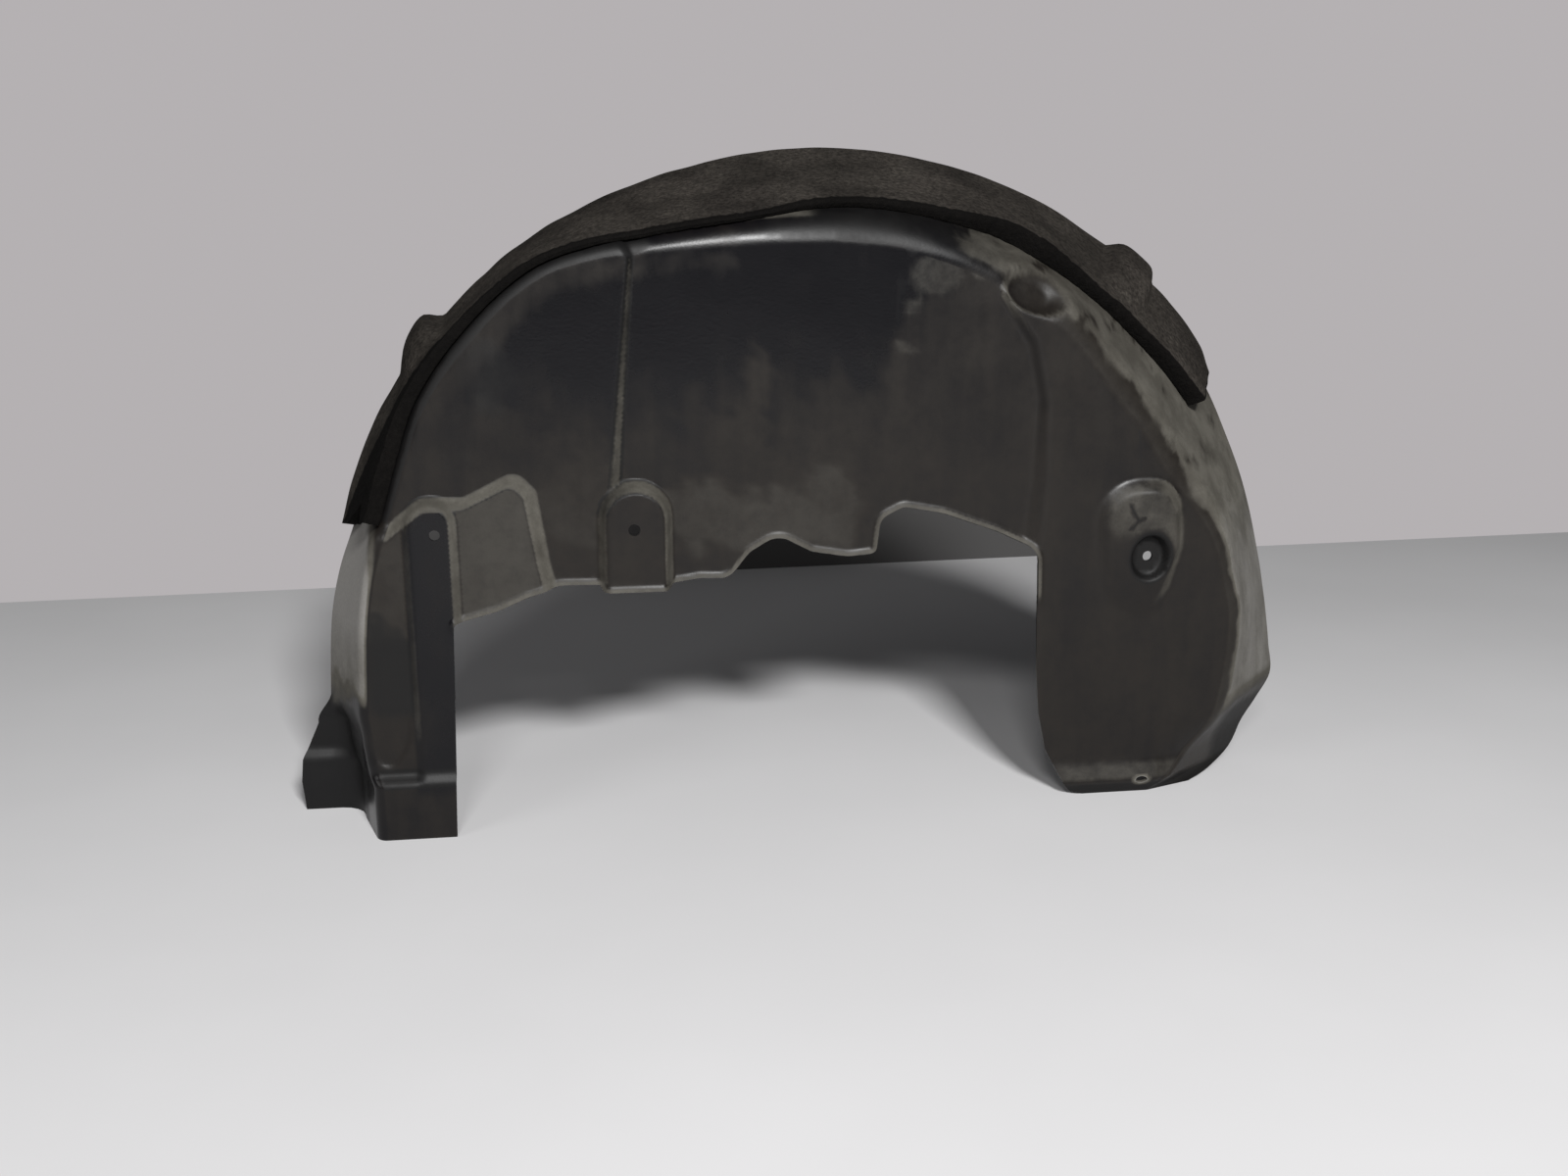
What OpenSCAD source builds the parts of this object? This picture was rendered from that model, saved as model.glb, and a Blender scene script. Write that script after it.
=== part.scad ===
// Wheel arch liner (inner mudguard), body side to the front.
// A D shaped inner wall faces -Y, the arch band runs back from its edge to the rim at +Y.
// The modules count heights from the foot and x from the arch centre line; the last step
// moves all of it, so that the origin is in the hole of the middle tab.
// The hardest feature is the arch band: its shoulder, flare and depth change all along the arch.

/* [Sheet] */
// moulded wall thickness in mm
sheet_t = 2.6; // [2:0.1:4]
// bend steps in one shoulder curve
shoulder_steps = 7; // [4:1:12]
// angle between two cross-sections of the band
section_step = 4; // [3:1:8]

/* [Arch] */
// radius of the flat wall at the top of the arch
arch_r = 300; // [260:1:360]
// height of the arch centre above the foot
centre_z = 150; // [120:1:190]
// depth of the band at the top, from the foot front to the rim
band_depth = 150; // [110:1:190]

/* [Wall levels] */
// front of the left post, back from the foot front
post_level = 4; // [2:0.5:8]
// front of the raised corner beside the post
plateau_level = 9; // [6:0.5:12]
// front of the outer wall panels
wall_level = 16; // [12:0.5:20]
// front of the sunk middle panel
middle_level = 22; // [18:0.5:28]

/* [Fixings] */
// radius of the hole in the left post
post_hole_r = 4; // [3:0.1:6]
// radius of the hole in the middle tab
tab_hole_r = 4.5; // [3:0.1:6]
// radius of the hole in the right boss
boss_hole_r = 4; // [3:0.1:6]
// height of the middle tab front over the foot front
tab_level = 4; // [0:0.5:10]

/* [Foam strip] */
// thickness of the foam at the top of the arch
foam_t = 8; // [5:0.5:12]
// angle where the foam starts, on the right
foam_from = 26; // [25:1:50]
// angle where the foam ends, on the left
foam_to = 165; // [150:1:168]

/* [Hidden] */
$fn = 48;
leg_scale = 5.8;
post_hole = [-280, 237];
tab_hole = [-134, 236.5];
boss_hole = [272.5, 199.5];
lip_hole = [277, 11.3];
// origin: middle of the tab wall, on the axis of the tab hole
origin = [tab_hole[0], tab_level + sheet_t / 2, tab_hole[1]];

// Cross-sections along the band, right foot to left foot. Each row holds:
// station, flat edge radius over arch_r, level, shoulder radius, rim radius over arch_r, rim depth share.
stations = [
  [-25.8, -18, 16, 8, 26, 0.20],
  [-25.2, -14, 16, 9, 52, 0.33],
  [-23.8, -3, 16, 11, 79, 0.49],
  [-20, 17, 16, 14, 92, 0.53],
  [-17, 30, 16, 17, 106, 0.565],
  [-13.4, 37, 16, 20, 120, 0.60],
  [-9, 41, 16, 22, 118, 0.62],
  [-4, 43, 16, 22, 115, 0.65],
  [0, 42, 16, 22, 112, 0.68],
  [5, 36, 16, 22, 108, 0.73],
  [9, 32, 16, 23, 106, 0.77],
  [13, 25, 16, 25, 104, 0.81],
  [19, 11, 16, 30, 101, 0.87],
  [24, 3, 16, 33, 100, 0.92],
  [30, -1, 16, 34, 97, 0.97],
  [37, -5, 16, 32, 93, 1.0],
  [43, -4, 16, 30, 86, 1.0],
  [50, -2, 16, 28, 79, 1.0],
  [56, -2, 16, 26, 75, 1.0],
  [62, -1, 22, 22, 71, 1.0],
  [70, 2, 22, 18, 66, 1.0],
  [76, 4, 22, 16, 62, 1.0],
  [84, 2, 22, 16, 57.5, 1.0],
  [93, 0, 22, 16, 54, 1.0],
  [103, 4, 22, 15, 50, 1.0],
  [112, 12, 22, 13, 49, 1.0],
  [118, 21, 16, 12, 49, 0.99],
  [126, 33, 16, 10, 50, 0.94],
  [138, 34, 16, 10, 50, 0.87],
  [148, 33, 16, 10, 52, 0.77],
  [155, 28, 16, 10, 54, 0.70],
  [162, 26, 16, 10, 56, 0.63],
  [167, 28, 9, 10, 57, 0.57],
  [172, 30, 9, 10, 62, 0.49],
  [180, 33, 9, 10, 69, 0.48],
  [189, 36, 9, 10, 73, 0.48]
];

// Foam along the same stations: station, start behind the shoulder, thickness shares front and rim.
foam_rows = [
  [26, 58, 1.9, 1.2],
  [30, 54, 1.8, 1.85],
  [36, 50, 1.65, 1.75],
  [41, 44, 1.55, 1.65],
  [45, 39, 1.5, 1.65],
  [49, 33, 1.5, 1.5],
  [58, 30, 2.1, 1.4],
  [62, 33, 2.0, 1.3],
  [66, 30, 1.7, 1.2],
  [71, 26, 1.3, 1.1],
  [77, 22, 1.1, 1.15],
  [84, 19, 1.0, 1.15],
  [89, 14, 0.9, 1.1],
  [95, 5, 0.8, 1.05],
  [101, 0.5, 0.8, 1.05],
  [119, 0.5, 0.8, 1.15],
  [138, 0.5, 1.5, 1.4],
  [148, 0.5, 2.0, 1.5],
  [155, 0.5, 2.2, 1.65],
  [160, 0.5, 2.3, 1.7],
  [168, 0.5, 2.4, 1.0]
];
// Two humps of the foam over the bumps of the rim: station, height.
hump_rows = [
  [30, 0], [39.2, 0], [39.8, 4], [40.4, 8], [41.2, 11], [43.2, 11.5], [45.2, 10.2], [46, 6.5], [46.8, 0],
  [60, 0], [120, 0], [138.8, 0], [139.5, 2], [140, 7], [140.5, 12], [141.7, 14], [143.5, 12.5], [144.7, 10],
  [146.3, 5], [148.3, 0], [160, 0]
];

function cell(rows, i, k) = rows[min(max(i, 0), len(rows) - 1)][k];
function slope(rows, i, k) =
  (cell(rows, i + 1, k) - cell(rows, i - 1, k)) / (cell(rows, i + 1, 0) - cell(rows, i - 1, 0));
function row_at(rows, s) = max([for (i = [0 : len(rows) - 2]) if (rows[i][0] <= s || i == 0) i]);
// smooth value of column k at station s
function along(rows, s, k) =
  let (i = row_at(rows, s))
  let (gap = rows[i + 1][0] - rows[i][0])
  let (u = (s - rows[i][0]) / gap)
  let (a = rows[i][k])
  let (b = rows[i + 1][k])
  let (da = slope(rows, i, k) * gap)
  let (db = slope(rows, i + 1, k) * gap)
  a + da * u + (3 * (b - a) - 2 * da - db) * u * u + (da + db - 2 * (b - a)) * u * u * u;

// Origin and outward direction of the cross-section at a station; the feet are straight legs.
function base_at(s) =
  s > 180 ? [0, centre_z - (s - 180) * leg_scale] : s < 0 ? [0, centre_z + s * leg_scale] : [0, centre_z];
function out_at(s) = s > 180 ? [-1, 0] : s < 0 ? [1, 0] : [cos(s), sin(s)];
function place(s, p) =
  let (c = base_at(s))
  let (d = out_at(s))
  [c[0] + d[0] * p[0], p[1], c[1] + d[1] * p[0]];

function edge_r(s) = arch_r + along(stations, s, 1);
function rim_r(s) = arch_r + along(stations, s, 4);
function rim_y(s) = band_depth * along(stations, s, 5);
// level eased between stations, so that flat stretches stay flat
function level_at(s) =
  let (i = row_at(stations, s))
  let (u = (s - stations[i][0]) / (stations[i + 1][0] - stations[i][0]))
  stations[i][2] + (stations[i + 1][2] - stations[i][2]) * u * u * (3 - 2 * u);
function bend_r(s) = along(stations, s, 3);
// angle of the band from the wheel axis, so that it leaves the shoulder without a kink
function flare(s) =
  let (a = rim_r(s) - edge_r(s))
  let (b = rim_y(s) - level_at(s) - bend_r(s))
  acos(bend_r(s) / norm([a, b])) - atan2(b, a);

// Points of one cross-section, [outward, depth], at a distance in from the outer face.
function shoulder_points(s, inset) =
  let (r = bend_r(s))
  let (turn = 90 - flare(s))
  [for (i = [0 : shoulder_steps]) let (a = turn * i / shoulder_steps)
    [edge_r(s) + (r - inset) * sin(a), level_at(s) + r - (r - inset) * cos(a)]];
function rim_point(s, inset) =
  let (f = flare(s))
  [rim_r(s) - inset * cos(f), rim_y(s) + inset * sin(f)];
function band_points(s, inset) =
  let (bend = shoulder_points(s, inset))
  let (rim = rim_point(s, inset))
  let (last = bend[len(bend) - 1])
  concat([[edge_r(s) - 7, level_at(s) + inset]], bend, [(last + rim) / 2, rim]);
function backwards(list) = [for (i = [len(list) - 1 : -1 : 0]) list[i]];
function edge_xz(s) = let (p = place(s, [edge_r(s), 0])) [p[0], p[2]];

// Outline with rounded corners from [x, z, radius] rows; a radius of 0 keeps the corner.
function unit(v) = v / norm(v);
function sorted(list) = len(list) < 2 ? list
  : let (a = list[0])
    concat(sorted([for (k = list) if (k < a) k]), [a], sorted([for (k = list) if (k > a) k]));
function corner(p, c, q, r) =
  let (a = unit(p - c))
  let (b = unit(q - c))
  let (half = acos(max(-1, min(1, a * b))) / 2)
  let (mid = c + unit(a + b) * r / sin(half))
  let (start = c + a * r / tan(half) - mid)
  let (stop = c + b * r / tan(half) - mid)
  let (from = atan2(start[1], start[0]))
  let (sweep = atan2(start[0] * stop[1] - start[1] * stop[0], start * stop))
  [for (i = [0 : 4]) mid + r * [cos(from + sweep * i / 4), sin(from + sweep * i / 4)]];
function xz(p) = [p[0], p[1]];
function rounded(rows) =
  let (n = len(rows))
  [for (i = [0 : n - 1]) each rows[i][2] == 0 ? [xz(rows[i])]
    : corner(xz(rows[(i + n - 1) % n]), xz(rows[i]), xz(rows[(i + 1) % n]), rows[i][2])];

// Closed solid of triangles, its faces turned outward whichever way the rows run.
module solid(points, faces) {
  v = [for (f = faces) points[f[0]] * cross(points[f[1]], points[f[2]])];
  inward = v * [for (f = faces) 1] > 0;
  polyhedron(points, inward ? [for (f = faces) [f[0], f[2], f[1]]] : faces, convexity = 10);
}
function band_faces(n, m) = [for (j = [0 : m - 2]) for (i = [0 : n - 1])
  let (a = j * n + i)
  let (b = j * n + (i + 1) % n)
  each [[a, b, b + n], [a, b + n, a + n]]];

// Skin through rows of points; each row runs out along one face and back along the other.
module skin(rows) {
  n = len(rows[0]);
  m = len(rows);
  cap = [for (i = [0 : n / 2 - 2]) each [[i, n - 1 - i, i + 1], [i + 1, n - 1 - i, n - 2 - i]]];
  last = (m - 1) * n * [1, 1, 1];
  far = [for (t = cap) last + [t[0], t[2], t[1]]];
  solid([for (r = rows) each r], concat(band_faces(n, m), cap, far));
}

// Flat sheet of the wall: an outline in x and z, its front face at the given depth.
module sheet(points, level, thick = sheet_t) {
  translate([0, level + thick, 0])
    rotate([90, 0, 0])
      linear_extrude(thick)
        polygon(points);
}

// Sloped wall between two levels, along two matching paths.
module step_wall(front, front_level, back, back_level) {
  skin([for (i = [0 : len(front) - 1])
    let (e = unit(front[i] - back[i]))
    let (a = front[i] + 2 * e)
    let (d = back[i] - 2 * e)
    let (path = [[d, back_level], [back[i], back_level], [front[i], front_level], [a, front_level]])
    concat([for (p = path) [p[0][0], p[1], p[0][1]]],
      [for (p = backwards(path)) [p[0][0], p[1] + sheet_t, p[0][1]]])]);
}

ridge_front = [[-134, 433], [-146, 330], [-154, 262], [-161, 170]];
ridge_back = [[-130, 434], [-137, 330], [-141, 262], [-145, 170]];
crease_back = rounded([[146, 402, 0], [170, 368, 30], [181, 325, 40], [176, 262, 60], [166, 184, 0]]);
crease_front = rounded([[151, 405, 0], [174, 370, 30], [187, 325, 40], [190, 262, 60], [184, 182, 0]]);
plateau_back = rounded([[-314, 243, 0], [-290, 263, 14], [-258, 262, 12], [-220, 281, 12], [-206, 266, 9],
  [-198, 212, 18], [-190, 178, 0]]);
plateau_front = rounded([[-316, 232, 0], [-288, 254, 12], [-259, 254, 14], [-224, 271, 8], [-215, 262, 7],
  [-207, 212, 18], [-200, 176, 0]]);
post_front = rounded([[-298, 96, 0], [-298, 257.5, 14], [-270.2, 257.5, 13.5], [-269, 96, 0]]);
post_back = rounded([[-304, 96, 0], [-303.5, 264, 20], [-263.8, 264, 19.5], [-262, 96, 0]]);

// Left panel, middle panel and right panel, with the raised corner and post of the left foot.
module wall_sheets() {
  sheet(concat([for (s = [116 : 4 : 160]) edge_xz(s)], plateau_back, backwards(ridge_front)), wall_level);
  sheet(concat([for (s = [60 : 4.5 : 114]) edge_xz(s)], ridge_back, backwards(crease_back)), middle_level);
  sheet(concat([for (s = [-19.5 : 4.5 : 57]) edge_xz(s)], crease_front, [[170, 178], [170, 37]]), wall_level);
  difference() {
    sheet(concat(plateau_front, [[-250, 150]], [[-262, 96]], [for (s = [189 : -4 : 165]) edge_xz(s)]),
      plateau_level);
    translate([0, -1, 0])
      sheet(post_back, plateau_level, 8);
  }
  sheet(post_front, post_level);
  step_wall(plateau_front, plateau_level, plateau_back, wall_level);
  step_wall(post_front, post_level, post_back, plateau_level);
  step_wall(ridge_front, wall_level, ridge_back, middle_level);
  step_wall(crease_front, wall_level, crease_back, middle_level);
}

module arch_band() {
  right = [-25.8, -25.2, -24.4, -23.2, -21.5, -19.5, -17.5, -15.4, -13.4, -11, -7.5];
  rows = [for (s = concat(right, [for (k = [-4 : section_step : 184]) k], [186.5, 189]))
    concat([for (p = band_points(s, 0)) place(s, p)],
      [for (p = backwards(band_points(s, sheet_t))) place(s, p)])];
  skin(rows);
}

// Plan of the left foot: front, corner, side wall, outward bend and rear flange.
function foot_plan(v, inset) =
  let (r = 10)
  let (c = v[4])
  concat([[-288, v[1] + inset]],
    [for (i = [0 : 5]) let (a = 15 * i)
      [v[2] + 4 - (r - inset) * sin(a), v[1] + r - (r - inset) * cos(a)]],
    [for (i = [0 : 5]) let (a = 16 * i)
      [v[3] - c + (c + inset) * cos(a), v[5] - c + (c + inset) * sin(a)]],
    [[v[6], v[5] + inset]]);
module left_foot() {
  // height, front, corner, side wall, bend radius, rear face, flange end
  rows = [[0, 0, -331, -350, 22, 76, -399], [24, 0, -331, -350, 22, 76, -401],
    [43, 0.5, -331, -350, 22, 76, -399], [51, 8, -335, -355, 18, 73, -395],
    [72, 9, -338, -359, 13, 73, -385], [99, 9, -340, -363, 9, 72.5, -375]];
  skin([for (v = rows)
    concat([for (p = foot_plan(v, 0)) [p[0], p[1], v[0]]],
      [for (p = backwards(foot_plan(v, sheet_t))) [p[0], p[1], v[0]]])]);
}
// Boot under the post: the same bend of the sheet, carried across the post front.
module post_boot() {
  rows = [[0, 0], [26, 0], [43, 0.5], [52, 4], [99, 4]];
  skin([for (x = [-300, -262])
    concat([for (r = rows) [x, r[1], r[0]]], [for (r = backwards(rows)) [x, r[1] + sheet_t, r[0]]])]);
}

// Tapered block between a base outline and a front outline with matching points.
module block(base, front, base_y, front_y) {
  n = len(base);
  ring = concat([for (p = base) [p[0], base_y, p[1]]],
    [for (i = [0 : n - 1]) [front[i][0], front_y[i], front[i][1]]]);
  near = [for (i = [1 : n - 2]) [0, i + 1, i]];
  far = [for (t = near) [n + t[0], n + t[2], n + t[1]]];
  solid(ring, concat(band_faces(n, 2), near, far));
}
// Hollow boss: the block less a smaller block, one sheet thickness in from its front.
module tab_block(inset) {
  base = rounded([[-161 + inset, 178, 0], [-161 + inset, 271 - inset, 28 - inset],
    [-104 - inset, 271 - inset, 28 - inset], [-104 - inset, 178, 0]]);
  front = rounded([[-154.5 + inset, 178, 0], [-154.5 + inset, 264.5 - inset, 21.5 - inset],
    [-111 - inset, 264.5 - inset, 21.5 - inset], [-111 - inset, 178, 0]]);
  block(base, front, 23.5 + inset / 4, [for (p = front) tab_level + inset]);
}
function lobe_front_y(p) = 4 + 0.06 * (254 - p[1]) + 0.06 * (286 - p[0]);
module lobe_block(inset) {
  k = inset;
  base = rounded([[225 + k, 262 - k, 16 - k], [294 - k, 263 - k, 20 - k], [301 - k, 205, 20 - k],
    [286 - k, 148 + k, 14 - k], [232 + k, 138 + k, 14 - k]]);
  front = rounded([[233 + k, 254 - k, 14 - k], [287 - k, 255 - k, 14 - k], [293 - k, 206, 14 - k],
    [278 - k, 158 + k, 10 - k], [242 + k, 150 + k, 10 - k]]);
  block(base, front, 18.2 + k / 4, [for (p = front) lobe_front_y(p) + k]);
}
// Round or oval solid along the wheel axis, between two depths.
module plug(at, y0, y1, r, tall = 1) {
  translate([at[0], y1, at[1]])
    rotate([90, 0, 0])
      scale([1, tall, 1])
        cylinder(y1 - y0, r, r);
}
module tab_boss() {
  difference() {
    tab_block(0);
    tab_block(sheet_t);
  }
}
// Boss of the lobe with its oval pocket.
module lobe_boss() {
  difference() {
    union() {
      difference() {
        lobe_block(0);
        lobe_block(sheet_t);
      }
      plug([272, 200], 10.5, 20.6, 18, 1.2);
    }
    plug([272, 200], -10, 18, 15.4, 1.2);
  }
}

// Oval seat sunk into the shoulder, square to the surface there.
module seat_cone(y0, y1, r0, r1) {
  translate([311.5 * cos(56.4), 20.5, centre_z + 311.5 * sin(56.4)])
    rotate([0, -56.4, 0])
      rotate([0, 0, 35])
        rotate([0, -21, 0])
          translate([0, y1, 0])
            rotate([90, 0, 0])
              scale([1, 1.35, 1])
                cylinder(y1 - y0, r1, r0);
}
// Space under the shoulder that the seat may fill.
function section_under(s, inset) =
  let (bend = shoulder_points(s, inset))
  let (slant = bend[len(bend) - 1] * 0.7 + rim_point(s, inset) * 0.3)
  [for (p = concat([[edge_r(s) - 34, level_at(s) + inset]], bend, [slant])) place(s, p)];
module under_shoulder() {
  skin([for (s = [44 : 3 : 71]) concat(section_under(s, 0), backwards(section_under(s, 20)))]);
}
module shoulder_seat() {
  intersection() {
    seat_cone(-3, 13, 30, 15.5);
    under_shoulder();
  }
}

// Raised bump on the band close to the rim.
module rim_bump(s, r0, r1, y0, y1, width, inset) {
  k = inset;
  w = width / 2 - k;
  translate([0, 0, centre_z])
    rotate([0, -s, 0])
      solid([[r0 - 2 * k, y0 + k, -w - 5], [r0 - 2 * k, y1 - k, -w - 5], [r0 - 2 * k, y1 - k, w + 5],
        [r0 - 2 * k, y0 + k, w + 5], [r1 - k, y0 + 4 + k, -w], [r1 - k, y1 - k, -w], [r1 - k, y1 - k, w],
        [r1 - k, y0 + 4 + k, w]],
        concat(band_faces(4, 2), [[0, 2, 1], [0, 3, 2], [4, 5, 6], [4, 6, 7]]));
}
module rim_bumps(inset) {
  rim_bump(143, 347, 361, 100, 120, 34, inset);
  rim_bump(43, 381, 391, 122, 145, 26, inset);
}

// Lip of the lobe: the wall bends back, then the foot edge comes forward again.
module lobe_lip() {
  profile = [[16, 42], [16, 35], [24, 15], [14, 9], [12, 0]];
  xs = [[174, 0, 0], [290, 0, 0], [308, 6, 0], [328, 16, 1], [346, 30, 3]];
  skin([for (v = xs)
    concat([for (p = profile) [v[0], p[0] + v[1], p[1] + v[2]]],
      [for (p = backwards(profile)) [v[0], p[0] + v[1] + sheet_t, p[1] + v[2]]])]);
}

// Opening below the wall between the two feet.
module opening() {
  sheet(rounded([[-278, -60, 0], [-270, 168, 3], [-237, 177, 20], [-214, 187, 20], [-190, 193.5, 15],
    [-160, 193, 0], [-159, 189, 0], [-106, 189, 0], [-105, 191, 0], [-84, 194, 10], [-62, 193, 14],
    [-46, 213, 12], [-24, 226, 18], [2, 212, 20], [31, 207, 30], [53, 209, 5], [56, 236, 12], [74, 245, 10],
    [106, 239, 40], [150, 223, 30], [181.5, 208, 14], [184.5, 110, 40], [188, 72, 30], [195, 40, 30],
    [216, 2, 16], [240, -1.5, 20], [250, -60, 0]]), -30, 90);
}
module bore(at, r) {
  plug(at, -20, 60, r);
}

// Everything that is one moulding.
module liner_shell() {
  color([0.14, 0.14, 0.15])
    translate(-origin)
      moulding();
}
module moulding() {
  difference() {
    union() {
      difference() {
        union() {
          wall_sheets();
          arch_band();
          lobe_lip();
          rim_bumps(0);
          shoulder_seat();
        }
        tab_block(0.05);
        lobe_block(0.05);
        rim_bumps(sheet_t);
        seat_cone(-10, 10.4, 34, 13);
      }
      left_foot();
      post_boot();
      tab_boss();
      lobe_boss();
    }
    opening();
    bore(post_hole, post_hole_r);
    bore(tab_hole, tab_hole_r);
    bore(boss_hole, boss_hole_r);
    plug(lip_hole, -20, 60, 5, 0.6);
  }
}

// Glued foam, laid on the outer face of the band from behind the shoulder to the rim.
// Each row: front edge, middle and rim, with the humps standing on the rim side.
function foam_row(s) =
  let (bend = shoulder_points(s, 0))
  let (start = bend[len(bend) - 1])
  let (rim = rim_point(s, 0))
  let (run = unit(rim - start))
  let (out = [run[1], -run[0]])
  let (a = start + run * along(foam_rows, s, 1))
  let (front = foam_t * along(foam_rows, s, 2))
  let (back = foam_t * along(foam_rows, s, 3))
  let (hump = max(0, along(hump_rows, s, 1)))
  let (mid = (a + rim) / 2)
  [for (p = [a + out * front, mid + out * ((front + back) / 2 + 0.8 * hump), rim + out * (back + hump),
    rim, mid, a]) place(s, p)];
module foam_strip() {
  humps = [39.2, 39.8, 40.4, 41.2, 43.2, 45.2, 46, 46.8, 138.8, 139.5, 140, 140.5, 141.7, 143.5, 144.7,
    146.3, 148.3];
  steps = [for (k = [foam_from : section_step : foam_to - 1]) each
    [if (min([for (h = humps) abs(h - k)]) > 1) k]];
  color([0.2, 0.19, 0.17])
    translate(-origin)
      difference() {
        skin([for (s = sorted(concat(steps, humps, [foam_to]))) foam_row(s)]);
        rim_bumps(-0.4);
      }
}

liner_shell();
foam_strip();
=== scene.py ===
import math
import bpy
import numpy as np
from mathutils import Matrix, Vector, noise
from mathutils.geometry import delaunay_2d_cdt


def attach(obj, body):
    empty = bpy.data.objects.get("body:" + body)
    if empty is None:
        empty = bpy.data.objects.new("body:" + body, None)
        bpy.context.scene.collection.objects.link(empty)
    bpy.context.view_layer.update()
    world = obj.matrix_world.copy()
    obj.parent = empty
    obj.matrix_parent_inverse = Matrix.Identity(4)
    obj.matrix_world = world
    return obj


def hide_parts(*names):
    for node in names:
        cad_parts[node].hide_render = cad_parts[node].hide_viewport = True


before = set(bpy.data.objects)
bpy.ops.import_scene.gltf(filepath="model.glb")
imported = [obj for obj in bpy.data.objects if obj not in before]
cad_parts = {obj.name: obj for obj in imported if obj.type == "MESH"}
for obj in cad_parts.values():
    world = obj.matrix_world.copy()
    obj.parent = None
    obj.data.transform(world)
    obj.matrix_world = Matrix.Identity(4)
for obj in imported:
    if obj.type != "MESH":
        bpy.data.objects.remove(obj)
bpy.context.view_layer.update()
print("frame loaded")

# The shapes are worked out in mm: x from the arch centre line, y from the foot front,
# z from the foot. The row frame has its origin in the hole of the middle tab.
originShift = np.array([-134.0, 5.3, 236.5])

# the arch band
archSettings = {
    "archRadius": 300.0,
    "centreHeight": 150.0,
    "bandDepth": 150.0,
    "legScale": 5.8,
    "sheet": 2.6,
    # station, edge radius, level, shoulder radius, rim radius, rim depth share
    "stations": [
        (-25.8, -18, 16, 8, 26, 0.20), (-25.2, -14, 16, 9, 52, 0.33), (-23.8, -3, 16, 11, 79, 0.49),
        (-20, 17, 16, 14, 92, 0.53), (-17, 30, 16, 17, 106, 0.565), (-13.4, 37, 16, 20, 120, 0.60),
        (-9, 41, 16, 22, 118, 0.62), (-4, 43, 16, 22, 115, 0.65), (0, 42, 16, 22, 112, 0.68),
        (5, 36, 16, 22, 108, 0.73), (9, 32, 16, 23, 106, 0.77), (13, 25, 16, 25, 104, 0.81),
        (19, 11, 16, 30, 101, 0.87), (24, 3, 16, 33, 100, 0.92), (30, -1, 16, 34, 97, 0.97),
        (37, -5, 16, 32, 93, 1.0), (43, -4, 16, 30, 86, 1.0), (50, -2, 16, 28, 79, 1.0),
        (56, -2, 16, 26, 75, 1.0), (62, -2, 22, 23, 71, 1.0), (70, -3, 22, 23, 66, 1.0),
        (76, -4, 22, 24, 62, 1.0), (84, -6, 22, 24, 57.5, 1.0), (93, -7, 22, 23, 54, 1.0),
        (103, -2, 22, 20, 50, 1.0), (112, 9, 22, 15, 49, 1.0), (118, 21, 16, 12, 49, 0.99),
        (126, 33, 16, 10, 50, 0.94), (138, 34, 16, 10, 50, 0.87), (148, 33, 16, 10, 52, 0.77),
        (155, 28, 16, 10, 54, 0.70), (162, 26, 16, 10, 56, 0.63), (167, 28, 9, 10, 57, 0.57),
        (172, 30, 9, 10, 62, 0.49), (180, 33, 9, 10, 69, 0.48), (189, 36, 9, 10, 73, 0.48),
    ],
    # left foot: height, corner, side wall, bend, rear face, flange end
    "footRows": [
        (0, -331, -350, 22, 71, -399), (24, -331, -350, 22, 71, -401), (43, -331, -350, 22, 71.5, -399),
        (50, -335, -355, 18, 76, -395), (72, -338, -359, 13, 74, -385),
    ],
    "shoulderPoints": 9,
    "runPoints": 15,
    "sectionPitch": 3.6,
}


def along(rows, s, column):
    # smooth curve through one column of a table
    table = np.array([row[:column + 1] for row in rows], float)
    xs, ys = table[:, 0], table[:, column]
    slopes = np.empty(len(xs))
    slopes[1:-1] = (ys[2:] - ys[:-2]) / (xs[2:] - xs[:-2])
    slopes[0] = (ys[1] - ys[0]) / (xs[1] - xs[0])
    slopes[-1] = (ys[-1] - ys[-2]) / (xs[-1] - xs[-2])
    i = np.clip(np.searchsorted(xs, s, side="right") - 1, 0, len(xs) - 2)
    gap = xs[i + 1] - xs[i]
    u = (s - xs[i]) / gap
    a, b, da, db = ys[i], ys[i + 1], slopes[i] * gap, slopes[i + 1] * gap
    return a + da * u + (3 * (b - a) - 2 * da - db) * u ** 2 + (da + db - 2 * (b - a)) * u ** 3


def ease(value, low, high):
    t = np.clip((value - low) / (high - low), 0.0, 1.0)
    return t * t * (3 - 2 * t)


def mixed(a, b, share):
    return a + (b - a) * share


def graph(rows, value):
    # straight lines through rows of place and height
    return np.interp(value, *np.array(rows, float).T)


def edgeRadius(s):
    return archSettings["archRadius"] + along(archSettings["stations"], s, 1)


def rimPoint(s):
    stations = archSettings["stations"]
    return np.array([archSettings["archRadius"] + along(stations, s, 4),
                     archSettings["bandDepth"] * along(stations, s, 5)])


def bendRadius(s):
    return along(archSettings["stations"], s, 3)


def place(s, outward, depth):
    # a point of the cross-section at a station, as x, y, z in mm
    centre, scale = archSettings["centreHeight"], archSettings["legScale"]
    if s > 180:
        return np.array([-outward, depth, centre - (s - 180) * scale])
    if s < 0:
        return np.array([outward, depth, centre + s * scale])
    a = math.radians(s)
    return np.array([outward * math.cos(a), depth, centre + outward * math.sin(a)])


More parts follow.
